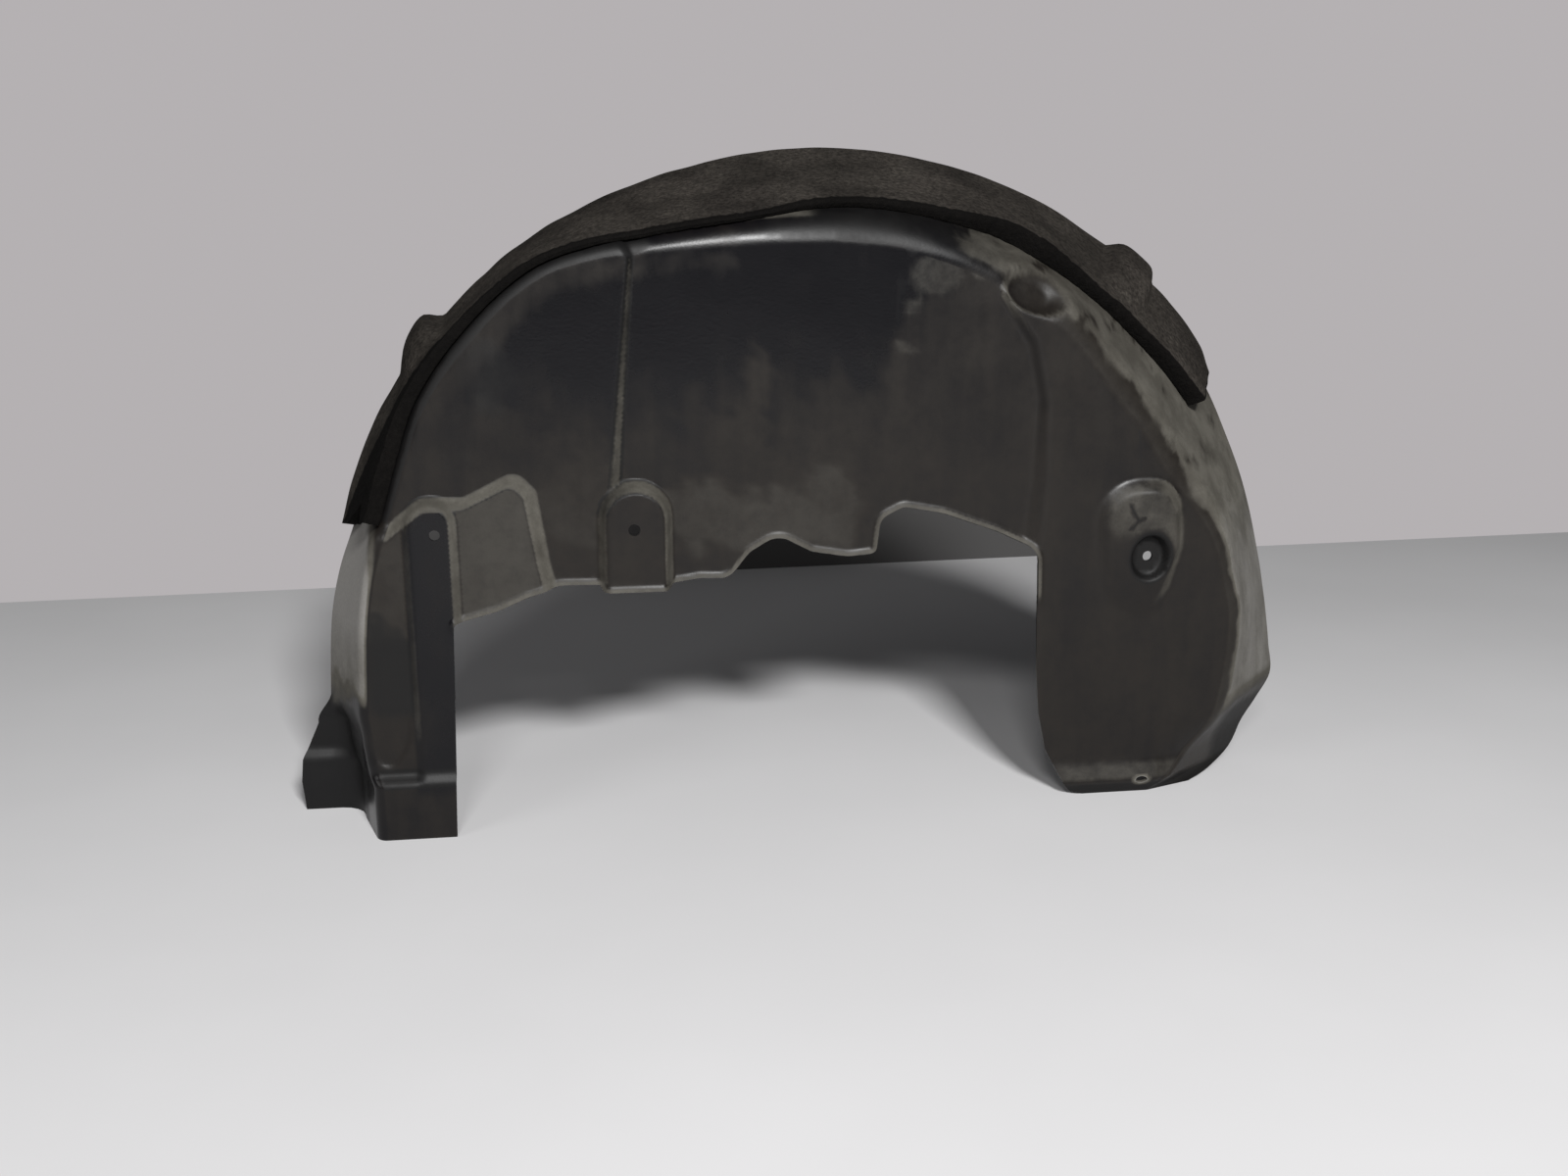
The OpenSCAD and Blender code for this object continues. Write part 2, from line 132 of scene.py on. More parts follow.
def sectionAt(s, level):
    # shoulder and band at a station: arrays of outward and depth, and where the shoulder ends
    radius, rim, edge = bendRadius(s), rimPoint(s), edgeRadius(s)
    a, b = rim[0] - edge, rim[1] - level - radius
    flare = math.acos(radius / math.hypot(a, b)) - math.atan2(b, a)
    turns = np.linspace(0, math.pi / 2 - flare, archSettings["shoulderPoints"])
    bend = np.stack([edge + radius * np.sin(turns), level + radius - radius * np.cos(turns)], axis=1)
    shares = np.linspace(0, 1, archSettings["runPoints"] + 1)[1:, None]
    return bend, bend[-1] + (rim - bend[-1]) * shares


def roundedOutline(rows, steps=6):
    # outline with rounded corners from x, z, radius rows
    points = []
    count = len(rows)
    for i, row in enumerate(rows):
        corner = np.array(row[:2], float)
        if row[2] == 0:
            points.append(corner)
            continue
        before = np.array(rows[i - 1][:2], float) - corner
        after = np.array(rows[(i + 1) % count][:2], float) - corner
        before /= np.linalg.norm(before)
        after /= np.linalg.norm(after)
        half = math.acos(np.clip(before @ after, -1, 1)) / 2
        middle = corner + (before + after) / np.linalg.norm(before + after) * row[2] / math.sin(half)
        start = corner + before * row[2] / math.tan(half) - middle
        stop = corner + after * row[2] / math.tan(half) - middle
        first = math.atan2(start[1], start[0])
        sweep = math.atan2(start[0] * stop[1] - start[1] * stop[0], start @ stop)
        for k in range(steps + 1):
            a = first + sweep * k / steps
            points.append(middle + row[2] * np.array([math.cos(a), math.sin(a)]))
    return np.array(points)


def lineDistance(points, line, closed=False):
    ends = np.vstack([line[1:], line[:1]]) if closed else line[1:]
    starts = line if closed else line[:-1]
    best = np.full(len(points), 1e9)
    for a, b in zip(starts, ends):
        d = b - a
        t = np.clip(((points - a) @ d) / max(d @ d, 1e-9), 0, 1)
        gap = points - a - t[:, None] * d
        best = np.minimum(best, np.hypot(gap[:, 0], gap[:, 1]))
    return best


def insideOf(points, outline):
    inside = np.zeros(len(points), bool)
    x, z = points[:, 0], points[:, 1]
    for a, b in zip(outline, np.roll(outline, -1, axis=0)):
        crosses = (a[1] > z) != (b[1] > z)
        if a[1] != b[1]:
            inside ^= crosses & (x < a[0] + (z - a[1]) * (b[0] - a[0]) / (b[1] - a[1]))
    return inside


def signedDistance(points, outline):
    distance = lineDistance(points, outline, closed=True)
    return np.where(insideOf(points, outline), -distance, distance)


wallSettings = {
    "postLevel": 4.0, "plateauLevel": 9.0, "wallLevel": 16.0, "middleLevel": 22.0, "tabLevel": 4.0,
    "ridgeFront": [(433, -134), (330, -146), (262, -154), (170, -161)],
    "ridgeBack": [(434, -130), (330, -137), (262, -141), (170, -145)],
    "creaseBack": [(402, 146), (368, 168), (325, 178), (262, 174), (184, 166)],
    "creaseFront": [(405, 151), (370, 176), (325, 186), (262, 189), (182, 184)],
    "plateauBack": [(-430, 235, 0), (-314, 243, 0), (-290, 263, 14), (-258, 262, 12), (-220, 281, 12),
                    (-206, 266, 9), (-198, 212, 18), (-188, 170, 0), (-188, -90, 0), (-430, -90, 0)],
    "plateauFront": [(-430, 222, 0), (-316, 232, 0), (-288, 254, 12), (-259, 254, 14), (-224, 271, 8),
                     (-215, 262, 7), (-207, 212, 18), (-198, 168, 0), (-198, -90, 0), (-430, -90, 0)],
    "postFront": [(-298, -90, 0), (-298, 257.5, 14), (-270.2, 257.5, 13.5), (-269, -90, 0)],
    "postBack": [(-304, -90, 0), (-303.5, 264, 20), (-263.8, 264, 19.5), (-262, -90, 0)],
    "tabBack": [(-161, 120, 0), (-161, 271, 28), (-104, 271, 28), (-104, 120, 0)],
    "tabFront": [(-154.5, 120, 0), (-154.5, 264.5, 21.5), (-111, 264.5, 21.5), (-111, 120, 0)],
    "bossBack": [(224, 264, 34), (296, 264, 26), (301, 205, 20), (286, 146, 16), (230, 136, 30)],
    "bossFront": [(236, 250, 24), (286, 253, 18), (292, 206, 14), (276, 160, 12), (246, 156, 16)],
    # x, z, radius, how much taller than wide, level of its floor
    "pocket": (272.0, 200.0, 15.4, 1.2, 18.0),
    # the right foot's lip: height and level, and how far its outer side turns back: x and depth
    "lip": [(0, 15.5), (4, 15), (9, 12.5), (12, 11), (30, 16), (38, 16)],
    "lobeTurn": [(290, 0), (308, 6), (328, 16), (346, 30)],
    "panelOutline": [(-345, 110, 0), (-343, 84, 12), (-331, 56, 12), (-318, 56, 12), (-306, 78, 10),
                     (-305, 110, 0)],
    "opening": [(-278, -60, 0), (-270, 168, 3), (-237, 177, 20), (-214, 187, 20), (-190, 193.5, 15),
                (-160, 193, 0), (-159, 189, 0), (-106, 189, 0), (-105, 191, 0), (-84, 194, 10),
                (-62, 193, 14), (-46, 213, 12), (-24, 226, 18), (2, 212, 20), (31, 207, 30), (53, 209, 5),
                (56, 236, 12), (74, 245, 10), (106, 239, 40), (150, 223, 30), (181.5, 208, 14),
                (184.5, 110, 40), (188, 72, 30), (195, 40, 30), (216, 2, 16), (240, -1.5, 20),
                (250, -60, 0)],
    "holes": {"post": (-280.0, 237.0, 4.0, 4.0), "tab": (-134.0, 236.5, 4.5, 4.5),
              "boss": (272.5, 199.5, 4.0, 4.0), "lip": (277.0, 11.3, 5.0, 3.0)},
    "finePitch": 2.1,
    "cracks": [
        [(253, 243), (255, 237), (259.7, 230.7), (254, 224)], [(259.7, 230.7), (264.5, 232.5)],
        [(256, 322), (259, 300), (262.5, 268)],
    ],
    "waves": ((0.55, 130.0, 3.0), (0.16, 38.0, 11.0)),
}
outlines = {name: roundedOutline(wallSettings[name]) for name in (
    "plateauBack", "plateauFront", "postFront", "postBack", "tabBack", "tabFront", "bossBack",
    "bossFront", "panelOutline", "opening")}


def between(points, back, front):
    # 0 outside the back outline, 1 inside the front outline, eased on the slope
    outer = -signedDistance(points, outlines[back])
    inner = np.maximum(signedDistance(points, outlines[front]), 0)
    t = np.clip(outer / np.maximum(outer + inner, 1e-6), 0, 1)
    return ease(t, 0.0, 1.0)


def acrossLines(points, first, second):
    xa, xb = (graph(sorted(wallSettings[name]), points[:, 1]) for name in (first, second))
    return ease((points[:, 0] - xa) / (xb - xa), 0.0, 1.0)


def rawDepth(points):
    # depth of the wall's front face at x, z points, before its edges are rounded
    s = wallSettings
    x, z = points[:, 0], points[:, 1]
    toMiddle = acrossLines(points, "ridgeFront", "ridgeBack")
    toRight = acrossLines(points, "creaseBack", "creaseFront")
    y = mixed(s["wallLevel"], s["middleLevel"], toMiddle * (1 - toRight))
    y = mixed(y, s["plateauLevel"], between(points, "plateauBack", "plateauFront"))
    panel = ease(-signedDistance(points, outlines["panelOutline"]), -1.0, 3.0) * ease(z, 120, 96)
    y = y - 2.0 * (1 - panel) * ease(z, 112, 80) * ease(x, -262, -300) * ease(z, 48, 54)
    y = mixed(y, s["postLevel"], between(points, "postBack", "postFront"))
    boot = ease(z, 53, 43) * ease(x, -225, -255)
    y = mixed(y, 0.0, boot)
    y = mixed(y, s["tabLevel"], between(points, "tabBack", "tabFront"))
    # the boss stands out most at its upper right, and its front is slightly domed
    domeTop = 4 + 0.06 * (254 - z) + 0.06 * (286 - x)
    dome = 3.4 * ((x - 264) ** 2 + ((z - 212) / 1.5) ** 2) / 1400
    y = mixed(y, np.minimum(domeTop + dome, 15.5), between(points, "bossBack", "bossFront"))
    px, pz, pr, tall, floor = s["pocket"]
    reach = np.hypot(x - px, (z - pz) / tall)
    y = np.maximum(y, mixed(y, floor, ease(reach, pr, pr - 2.4)))
    y = mixed(y, graph(s["lip"], z), ease(z, 42, 36) * ease(x, 160, 176) * ease(x, 338, 304))
    return y + graph(s["lobeTurn"], x) * ease(z, 70, 10) * ease(x, 280, 290)


def wallDepth(points):
    # a few samples round each point round off the creases, and the cut edge leans forward a little
    y = np.zeros(len(points))
    for dx, dz, share in ((0, 0, 0.2), (1.5, 0, 0.2), (-1.5, 0, 0.2), (0, 1.5, 0.2), (0, -1.5, 0.2)):
        y += share * rawDepth(points + np.array([dx, dz]))
    cut = lineDistance(points, outlines["opening"], closed=True)
    return y - 2.4 * ease(cut, 5.0, 0.5) * ease(points[:, 1], 160, 172)


def stationList():
    # stations along the band, closer together in the corner of the right foot
    scale = archSettings["legScale"]
    pitch = archSettings["sectionPitch"]
    right = list(-25.8 + np.arange(0, 12) * 0.25) + list(np.arange(-22.8, 0, pitch / scale))
    arch = list(np.linspace(0, 180, int(math.pi * 345 / pitch)))
    left = list(np.arange(180 + pitch / scale, 189.01, pitch / scale)) + [189.0]
    return sorted(set(round(v, 4) for v in right + arch + left))


def bandSections():
    # every cross-section from the right foot to the left foot, as x, y, z rows in mm
    sections = []
    stations = stationList()
    edges = np.array([place(s, edgeRadius(s), 0)[[0, 2]] for s in stations])
    levels = wallDepth(edges)
    for s, level in zip(stations, levels):
        bend, run = sectionAt(s, level)
        sections.append(np.array([place(s, o, d) for o, d in np.vstack([bend, run])]))
    rows = np.array(archSettings["footRows"], float)
    lowest = sections[-1]
    for z in list(np.arange(96.0, 0.0, -3.0)) + [0.0]:
        row = [np.interp(z, rows[:, 0], rows[:, k]) for k in range(1, 6)]
        foot = footSection(row, z)
        sections.append(mixed(foot, lowest * [1, 1, 0] + [0, 0, z], ease(z, 74, 97.8)))
    return sections


def footSection(row, z):
    # the left foot's section at a height: corner, side wall, bend and the flange behind it
    corner, side, bend, rear, flange = row
    level = wallDepth(np.array([[corner + 4, z]]))[0]
    radius = 10.0
    turns = np.radians(np.linspace(0, 75, archSettings["shoulderPoints"]))
    first = np.stack([corner + 4 - radius * np.sin(turns), level + radius - radius * np.cos(turns)], 1)
    turns = np.radians(np.linspace(0, 84, 9))
    second = np.stack([side - bend + bend * np.cos(turns), rear - bend + bend * np.sin(turns)], 1)
    chain = np.vstack([first[-1:], second, [[flange, rear]]])
    lengths = np.concatenate([[0], np.cumsum(np.linalg.norm(np.diff(chain, axis=0), axis=1))])
    wanted = np.linspace(0, lengths[-1], archSettings["runPoints"] + 1)[1:]
    rest = np.stack([np.interp(wanted, lengths, chain[:, k]) for k in (0, 1)], 1)
    section = np.vstack([first, rest])
    return np.stack([section[:, 0], section[:, 1], np.full(len(section), z)], 1)


def resampled(line, pitch):
    lengths = np.concatenate([[0], np.cumsum(np.linalg.norm(np.diff(line, axis=0), axis=1))])
    wanted = np.linspace(0, lengths[-1], max(2, int(round(lengths[-1] / pitch)) + 1))
    return np.stack([np.interp(wanted, lengths, line[:, k]) for k in (0, 1)], 1)


def clippedOpening():
    # the opening's outline above the ground, from the left boot to the lobe
    line = outlines["opening"]
    kept = []
    for a, b in zip(line[:-1], line[1:]):
        if (a[1] < 0) != (b[1] < 0):
            kept.append(a + (b - a) * (0 - a[1]) / (b[1] - a[1]))
        if b[1] >= 0:
            kept.append(b)
    return np.array(kept)


def latticePoints(outline, holes):
    # small triangles near features, larger ones on the flat panels
    pitch = wallSettings["finePitch"]
    low, high = outline.min(axis=0), outline.max(axis=0)
    columns = int((high[0] - low[0]) / pitch) + 2
    rows = int((high[1] - low[1]) / (pitch * 0.866)) + 2
    i, j = np.meshgrid(np.arange(columns), np.arange(rows))
    points = np.stack([low[0] + (i + 0.5 * (j % 2)) * pitch, low[1] + j * pitch * 0.866], -1).reshape(-1, 2)
    i, j = i.ravel(), j.ravel()
    inside = insideOf(points, outline)
    points, i, j = points[inside], i[inside], j[inside]
    near = np.full(len(points), 1e9)
    for name in ("plateauBack", "plateauFront", "postFront", "postBack", "tabBack", "tabFront", "bossBack",
                 "bossFront", "panelOutline"):
        near = np.minimum(near, lineDistance(points, outlines[name], closed=True))
    for name in ("ridgeFront", "ridgeBack", "creaseBack", "creaseFront"):
        near = np.minimum(near, lineDistance(points, np.array(wallSettings[name])[:, ::-1]))
    for line in wallSettings["cracks"]:
        near = np.minimum(near, lineDistance(points, np.array(line)))
    # the boot's ledge, the lip, the seat and the pocket get small ones too
    x, z = points[:, 0], points[:, 1]
    near = np.where((x < -225) & (z < 58) & (z > 38), 0, near)
    near = np.where((x > 170) & (z < 46), 0, near)
    seat = np.hypot(x - 172, z - 405)
    near = np.where(seat < 46, 0, near)
    px, pz, pr, tall, _ = wallSettings["pocket"]
    near = np.minimum(near, np.abs(np.hypot(x - px, (z - pz) / tall) - pr))
    rim = lineDistance(points, outline, closed=True)
    near = np.minimum(near, rim - 2)
    every = np.where(near < 4.5, 1, np.where(near < 12, 2, 4))
    keep = (i % every == 0) & (j % every == 0) & (rim > 1.1)
    for hole in holes:
        keep &= signedDistance(points, hole) > 0.9
    return points[keep]


def holeOutlines():
    turns = np.linspace(0, 2 * math.pi, 28, endpoint=False)
    return [np.stack([x + rx * np.cos(turns), z + rz * np.sin(turns)], 1)
            for x, z, rx, rz in wallSettings["holes"].values()]


def wallTriangles(outline, holes):
    # the wall between its outline and its holes, and the new number of each point of the outline
    points = np.vstack([outline] + holes + [latticePoints(outline, holes)])
    constraints, start = [], 0
    for loop in [outline] + holes:
        count = len(loop)
        constraints += [(start + k, start + (k + 1) % count) for k in range(count)]
        start += count
    verts, _, faces, origins, _, _ = delaunay_2d_cdt([Vector(p) for p in points], constraints, [], 0, 1e-5)
    flat = np.array([tuple(v) for v in verts])
    faces = np.array([tuple(f) for f in faces if len(f) == 3])
    middles = flat[faces].mean(axis=1)
    keep = insideOf(middles, outline)
    for hole in holes:
        keep &= ~insideOf(middles, hole)
    newIndex = {old: new for new, origin in enumerate(origins) for old in origin}
    return flat, faces[keep], newIndex


def shellSurface():
    # one open surface: the wall's front face and the outer face of the band
    sections = bandSections()
    edge = np.array([section[0][[0, 2]] for section in sections])
    cut = clippedOpening()
    bottomLeft = resampled(np.array([edge[-1], cut[0]]), 2.5)[1:-1]
    cut = resampled(cut, 2.4)
    bottomRight = resampled(np.array([cut[-1], edge[0]]), 2.5)[1:-1]
    outline = np.vstack([edge, bottomLeft, cut, bottomRight])
    flat, faces, newIndex = wallTriangles(outline, holeOutlines())
    wall = np.stack([flat[:, 0], wallDepth(flat), flat[:, 1]], 1)
    a, b, c = (wall[faces[:, k]] for k in range(3))
    faces = np.where(np.cross(b - a, c - a)[:, 1:2] > 0, faces[:, ::-1], faces)
    points, rows, quads = [wall], [], []
    total = len(wall)
    for index, section in enumerate(sections):
        points.append(section[1:])
        rows.append([newIndex[index]] + list(range(total, total + len(section) - 1)))
        total += len(section) - 1
    for first, second in zip(rows[:-1], rows[1:]):
        for k in range(len(first) - 1):
            quads.append((first[k], first[k + 1], second[k + 1], second[k]))
    return np.vstack(points), faces, quads


seatSettings = {
    # where it is on the arch, how it leans, how much longer than wide it is, its floor and its cone
    "angle": 56.4, "radius": 311.5, "depth": 20.5, "tilt": 35.0, "turn": 21.0,
    "longer": 1.35, "floor": 10.4, "floorRadius": 13.0, "slope": 1.03, "soft": 1.6,
}


def seatAxes():
    s = seatSettings
    frameTurn = Matrix.Rotation(math.radians(-s["angle"]), 3, "Y")
    frameTurn @= Matrix.Rotation(math.radians(s["tilt"]), 3, "Z")
    frameTurn @= Matrix.Rotation(math.radians(-s["turn"]), 3, "Y")
    a = math.radians(s["angle"])
    centre = np.array([s["radius"] * math.cos(a), s["depth"],
                       archSettings["centreHeight"] + s["radius"] * math.sin(a)])
    return centre, np.array(frameTurn)


def seatPlaces(points):
    # points in the seat's own axes, how far they are from its middle, and how high they stand over its cone
    s = seatSettings
    centre, turn = seatAxes()
    local = (points - centre) @ turn
    reach = np.hypot(local[:, 0], local[:, 2] / s["longer"])
    cone = s["floor"] - np.maximum(reach - s["floorRadius"], 0) * s["slope"]
    return local, reach, cone - local[:, 1], turn[:, 1]


def sinkSeat(points):
    # the oval seat pressed into the shoulder
    _, reach, gap, inward = seatPlaces(points)
    soft = seatSettings["soft"]
    push = np.where(reach < 34, soft * np.log1p(np.exp(np.clip(gap / soft, -30, 30))), 0)
    push *= ease(reach, 34, 27)
    return points + push[:, None] * inward


def vertexNormals(points, faces):
    normals = np.zeros_like(points)
    for face in faces:
        quad = points[face]
        size = quad.shape[1]
        if size == 3:
            n = np.cross(quad[:, 1] - quad[:, 0], quad[:, 2] - quad[:, 0])
        else:
            n = np.cross(quad[:, 2] - quad[:, 0], quad[:, 3] - quad[:, 1])
        for k in range(size):
            np.add.at(normals, face[:, k], n)
    return normals / np.maximum(np.linalg.norm(normals, axis=1), 1e-9)[:, None]


def wavy(points):
    values = np.zeros(len(points))
    for height, length, seed in wallSettings["waves"]:
        values += [height * noise.noise(Vector(p) / length + Vector((seed, 0, seed))) for p in points]
    return values


def speckle(points, length, seed):
    return np.array([noise.noise(Vector(p) / length + Vector((seed, seed, 0))) for p in points])


def meshObject(name, points, faces, sharpAngle):
    mesh = bpy.data.meshes.new(name)
    shifted = (points - originShift) / 1000
    mesh.from_pydata([tuple(p) for p in shifted], [], [tuple(int(i) for i in f) for f in faces])
    mesh.polygons.foreach_set("use_smooth", [True] * len(mesh.polygons))
    mesh.set_sharp_from_angle(angle=math.radians(sharpAngle))
    piece = bpy.data.objects.new(name, mesh)
    bpy.context.scene.collection.objects.link(piece)
    return piece


dirtAndPaintedLight = {
    # x, z, half width, half height, tilt in degrees, amount of pale dust; the patch at x 277, z 11 is a
    # painted glint round the lip's hole
    "patches": [
        (96, 420, 24, 18, 0, 0.46), (78, 398, 12, 9, 20, 0.46), (74, 366, 13, 6, -25, 0.45),
        (130, 423, 9, 8, 0, 0.4), (112, 438, 12, 6, 10, 0.35), (212, 378, 16, 7, -50, 0.4),
        (196, 398, 12, 9, -40, 0.4), (232, 352, 12, 6, -60, 0.4), (277, 11, 8, 5, 0, 1.3),
        (126, 441, 18, 7, 0, 0.36),
    ],
    # the same for the thin brown film
    "films": [
        (-58, 290, 26, 40, 0, 0.62), (-88, 318, 12, 28, 0, 0.5), (20, 310, 24, 50, 0, 0.55),
        (-232, 292, 44, 44, 30, 0.46), (-166, 252, 44, 40, 0, 0.8), (-30, 236, 64, 30, 0, 1.0),
        (16, 244, 30, 40, 0, 0.9), (-190, 326, 26, 30, 0, 0.3), (-84, 240, 44, 32, 0, 0.95),
        (-38, 330, 8, 40, 0, 0.6),
    ],
    # and for the dark stains
    "stains": [
        (-236, 350, 26, 34, 20, 0.5), (-262, 288, 16, 12, 0, 0.5),
        (-100, 284, 16, 26, 0, 0.4), (228, 318, 14, 60, 12, 0.35), (-6, 286, 10, 40, -8, 0.35),
        (170, 340, 16, 44, 0, 0.35),
        (80, 446, 8, 16, -14, 0.45), (68, 404, 8, 24, -8, 0.5), (262, 316, 10, 26, 20, 0.4),
    ],
    # the dusty edge down the right side of the boss
    "bossSide": [(293, 246), (296.5, 226), (297, 207), (288, 174), (275, 152)],
    # where the film of the right half begins: height and x
    "filmEdge": [(150, 42), (266, 42), (330, 54), (370, 67), (445, 98), (480, 120)],
    # how wide the dust beside the ridge is: height and width
    "ridgeWidth": [(200, 24), (430, 9)],
    # how much pale dust lies on each form; on the slopes of the plateau, post, tab and ridge it is partly a
    # painted highlight, on the cut edge, the boot and the foot ledge a painted highlight, on the lip dust and
    # painted light, and the left band's share is a painted reflection
    "plateau": 0.8, "post": (0.42, 0.8), "tab": (0.55, 0.9), "ridgeStep": (0.66, 0.5), "ridgeSide": 0.42,
    "dome": 0.52, "bossEdge": 0.62, "cutEdgeHighlight": 0.68, "lip": 0.46, "boot": 0.26, "footLedgeHighlight": 0.25,
    "bandTop": 0.7, "leftBandSheen": (1.36, 1.16), "seatRing": 0.5, "seatDustAndLitSide": (0.24, 0.74),
    # amounts of film: over the wall, right of its edge, plateau, post, tab, foot, band, left shoulder
    "filmBase": (0.08, 0.5), "filmRight": 0.56, "filmPlateau": (0.88, 1.15), "filmPost": 0.22,
    "filmTab": 0.62, "filmFoot": 0.5, "filmBand": (0.35, 0.85), "filmShoulder": 0.5,
    # amounts of dark stain (the foot and the cracks) and of painted shade (the rest)
    "pocketShade": 1.1, "seatShade": 0.4, "stainFoot": 0.8, "stainCrack": 0.7, "bootLedgeShade": 0.85,
    "leftEndShade": 0.9, "lipUnderShade": 0.8, "lobeUnderShade": 0.8, "shadeUnderFoam": 0.7,
}


def blots(x, z, rows):
    total = np.zeros(len(x))
    for cx, cz, wide, tall, tilt, amount in rows:
        a = math.radians(tilt)
        u = (x - cx) * math.cos(a) + (z - cz) * math.sin(a)
        v = (z - cz) * math.cos(a) - (x - cx) * math.sin(a)
        total = np.maximum(total, amount * ease(np.hypot(u / wide, v / tall), 1.35, 0.65))
    return total


class ShellPlaces:
    # what the dirt and the painted light and shade depend on at each point of the shell
    def __init__(self, points, normals, onWall):
        self.points, self.normals = points, normals
        self.flat = points[:, [0, 2]]
        self.onWall, self.wall = onWall, onWall * 1.0
        self.rough = speckle(points, 26.0, 4.0) + 0.5 * speckle(points, 9.0, 7.0)
        x, z = self.flat.T
        above = z - archSettings["centreHeight"]
        self.station = np.degrees(np.arctan2(above, x))
        stations = archSettings["stations"]
        nearest = np.where(above > 0, self.station, above / archSettings["legScale"])
        nearest = np.clip(nearest, stations[0][0], stations[-1][0])
        self.outside = np.where(above > 0, np.hypot(x, above), x) - edgeRadius(nearest)
        self.inTab = ease(signedDistance(self.flat, outlines["tabBack"]), 0.5, -1.0)
        self.onPost = ease(signedDistance(self.flat, outlines["postBack"]), 1, -1)
        self.onPlateau = ease(signedDistance(self.flat, outlines["plateauFront"]), 1, -2)
        px, pz, pr, tall, _ = wallSettings["pocket"]
        self.pocket = ease(np.hypot(x - px, (z - pz) / tall), pr + 6, pr)
        local, reach, self.seatGap, _ = seatPlaces(points)
        self.nearSeat = (np.abs(local[:, 1]) < 26) * (reach < 36) * 1.0
        # the seat's lower side, made paler as a painted highlight of its lit wall
        lowSide = ease(reach, 12, 17) * ease(local[:, 2], -8, 10)
        self.litCrescent = self.nearSeat * ease(self.seatGap, 0, 3) * lowSide


def strongest(*fields):
    return np.maximum.reduce(fields)


def ledgeDustAndLight(flat, back, front, beyond):
    outside = signedDistance(flat, outlines[front])
    return ease(outside, -1.5, 1.0) * ease(signedDistance(flat, outlines[back]), beyond, beyond - 4)


def mouldedLedges(p):
    # pale dust and painted highlight on the sides of the plateau, the post, the tab and the ridge
    s = dirtAndPaintedLight
    x, z = p.flat.T
    plateau = ledgeDustAndLight(p.flat, "plateauBack", "plateauFront", 3.0) * ease(z, 165, 195) * ease(x, -345, -325)
    post = ledgeDustAndLight(p.flat, "postBack", "postFront", 2.0) * ease(z, 60, 90)
    tab = ledgeDustAndLight(p.flat, "tabBack", "tabFront", 2.0) * ease(z, 186, 198)
    share = acrossLines(p.flat, "ridgeFront", "ridgeBack")
    ridgeStep = ease(share, 0.02, 0.25) * ease(share, 1.0, 0.75)
    fromRidge = x - graph(sorted(wallSettings["ridgeFront"]), z)
    ridgeWidth = graph(s["ridgeWidth"], z)
    ridgeSide = ease(fromRidge, -2, 3) * ease(fromRidge, ridgeWidth, 3) * ease(z, 438, 420)
    onRidge = ease(z, 185, 215) * (1 - p.inTab)
    return strongest(s["plateau"] * plateau,
                     post * mixed(*s["post"], ease(x, -292, -276)),
                     tab * mixed(*s["tab"], ease(x, -150, -128)),
                     onRidge * ridgeStep * mixed(*s["ridgeStep"], ease(z, 300, 420)),
                     onRidge * ridgeSide * s["ridgeSide"])


def bossAndEdges(p):
    # pale dust on the right boss, painted highlight along the cut edge of the opening and on the left boot's
    # ledge, and dust with painted light on the lip
    s = dirtAndPaintedLight
    x, z = p.flat.T
    boss = ease(-signedDistance(p.flat, outlines["bossBack"]), -1, 7)
    dome = boss * ease(z + 0.3 * (x - 262), 198, 222) * ease(x, 222, 244)
    bossEdge = ease(lineDistance(p.flat, np.array(s["bossSide"], float)), 8, 1) * ease(z, 150, 176)
    # painted highlight along the opening's cut edge
    cutEdgeHighlight = ease(lineDistance(p.flat, outlines["opening"], closed=True), 4.6, 2.2) * ease(z, 160, 175)
    # a paler band on the lip: dust and painted light
    lip = ease(z, 9, 14) * ease(z, 34, 22) * ease(x, 190, 215)
    # painted highlight on the boot's ledge
    boot = ease(z, 42, 47) * ease(z, 56, 50) * ease(x, -300, -290) * ease(x, -268, -284)
    return strongest(s["dome"] * dome * (1 - p.pocket), s["bossEdge"] * bossEdge * (1 - p.pocket),
                     s["cutEdgeHighlight"] * cutEdgeHighlight, s["lip"] * lip, s["boot"] * boot)


def shoulderDust(p):
    # pale dust on the right shoulder, thickest low down
    x, z = p.flat.T
    amount = mixed(mixed(1.18, 0.88, ease(p.station, 2, 22)), 0.62, ease(p.station, 24, 50))
    amount *= 1 - 0.5 * ease(p.rough, 0.25, 0.5) * ease(p.station, 14, 24)
    amount *= 1 - 0.9 * ease(z, 82, 50) * ease(x, 258, 290)
    facesOut = ease(-p.normals[:, 1] + 0.09 * p.rough, 0.998, 0.8)
    inner = mixed(-20, -34, ease(p.station, -4, 8))
    return amount * ease(x, 98, 124) * facesOut * ease(p.outside + 6 * p.rough, inner, 0)


def bandDustAndSheen(p):
    # pale dust on the band where it shows over the wall, a painted reflection on its left side and a painted
    # highlight on the left foot's ledge
    s = dirtAndPaintedLight
    x, y, z = p.points.T
    top = ease(p.normals[:, 2], 0.72, 0.92) * ease(x, -150, -120) * ease(x, 25, -10) * ease(y, 60, 40)
    # painted reflection on the left side of the band
    left = ease(x, -318, -334) * ease(z + 14 * p.rough, 88, 118) * ease(z, 280, 266)
    left *= mixed(*s["leftBandSheen"], ease(z, 190, 120)) * ease(p.normals[:, 0], -0.03, -0.4)
    # painted highlight on the left foot's ledge
    footLedgeHighlight = ease(z, 42, 45) * ease(z, 52, 49) * ease(x, -352, -362) * ease(y, 80, 76.5)
    return strongest(s["bandTop"] * top * (1 - p.wall), left * (1 - p.wall), s["footLedgeHighlight"] * footLedgeHighlight)


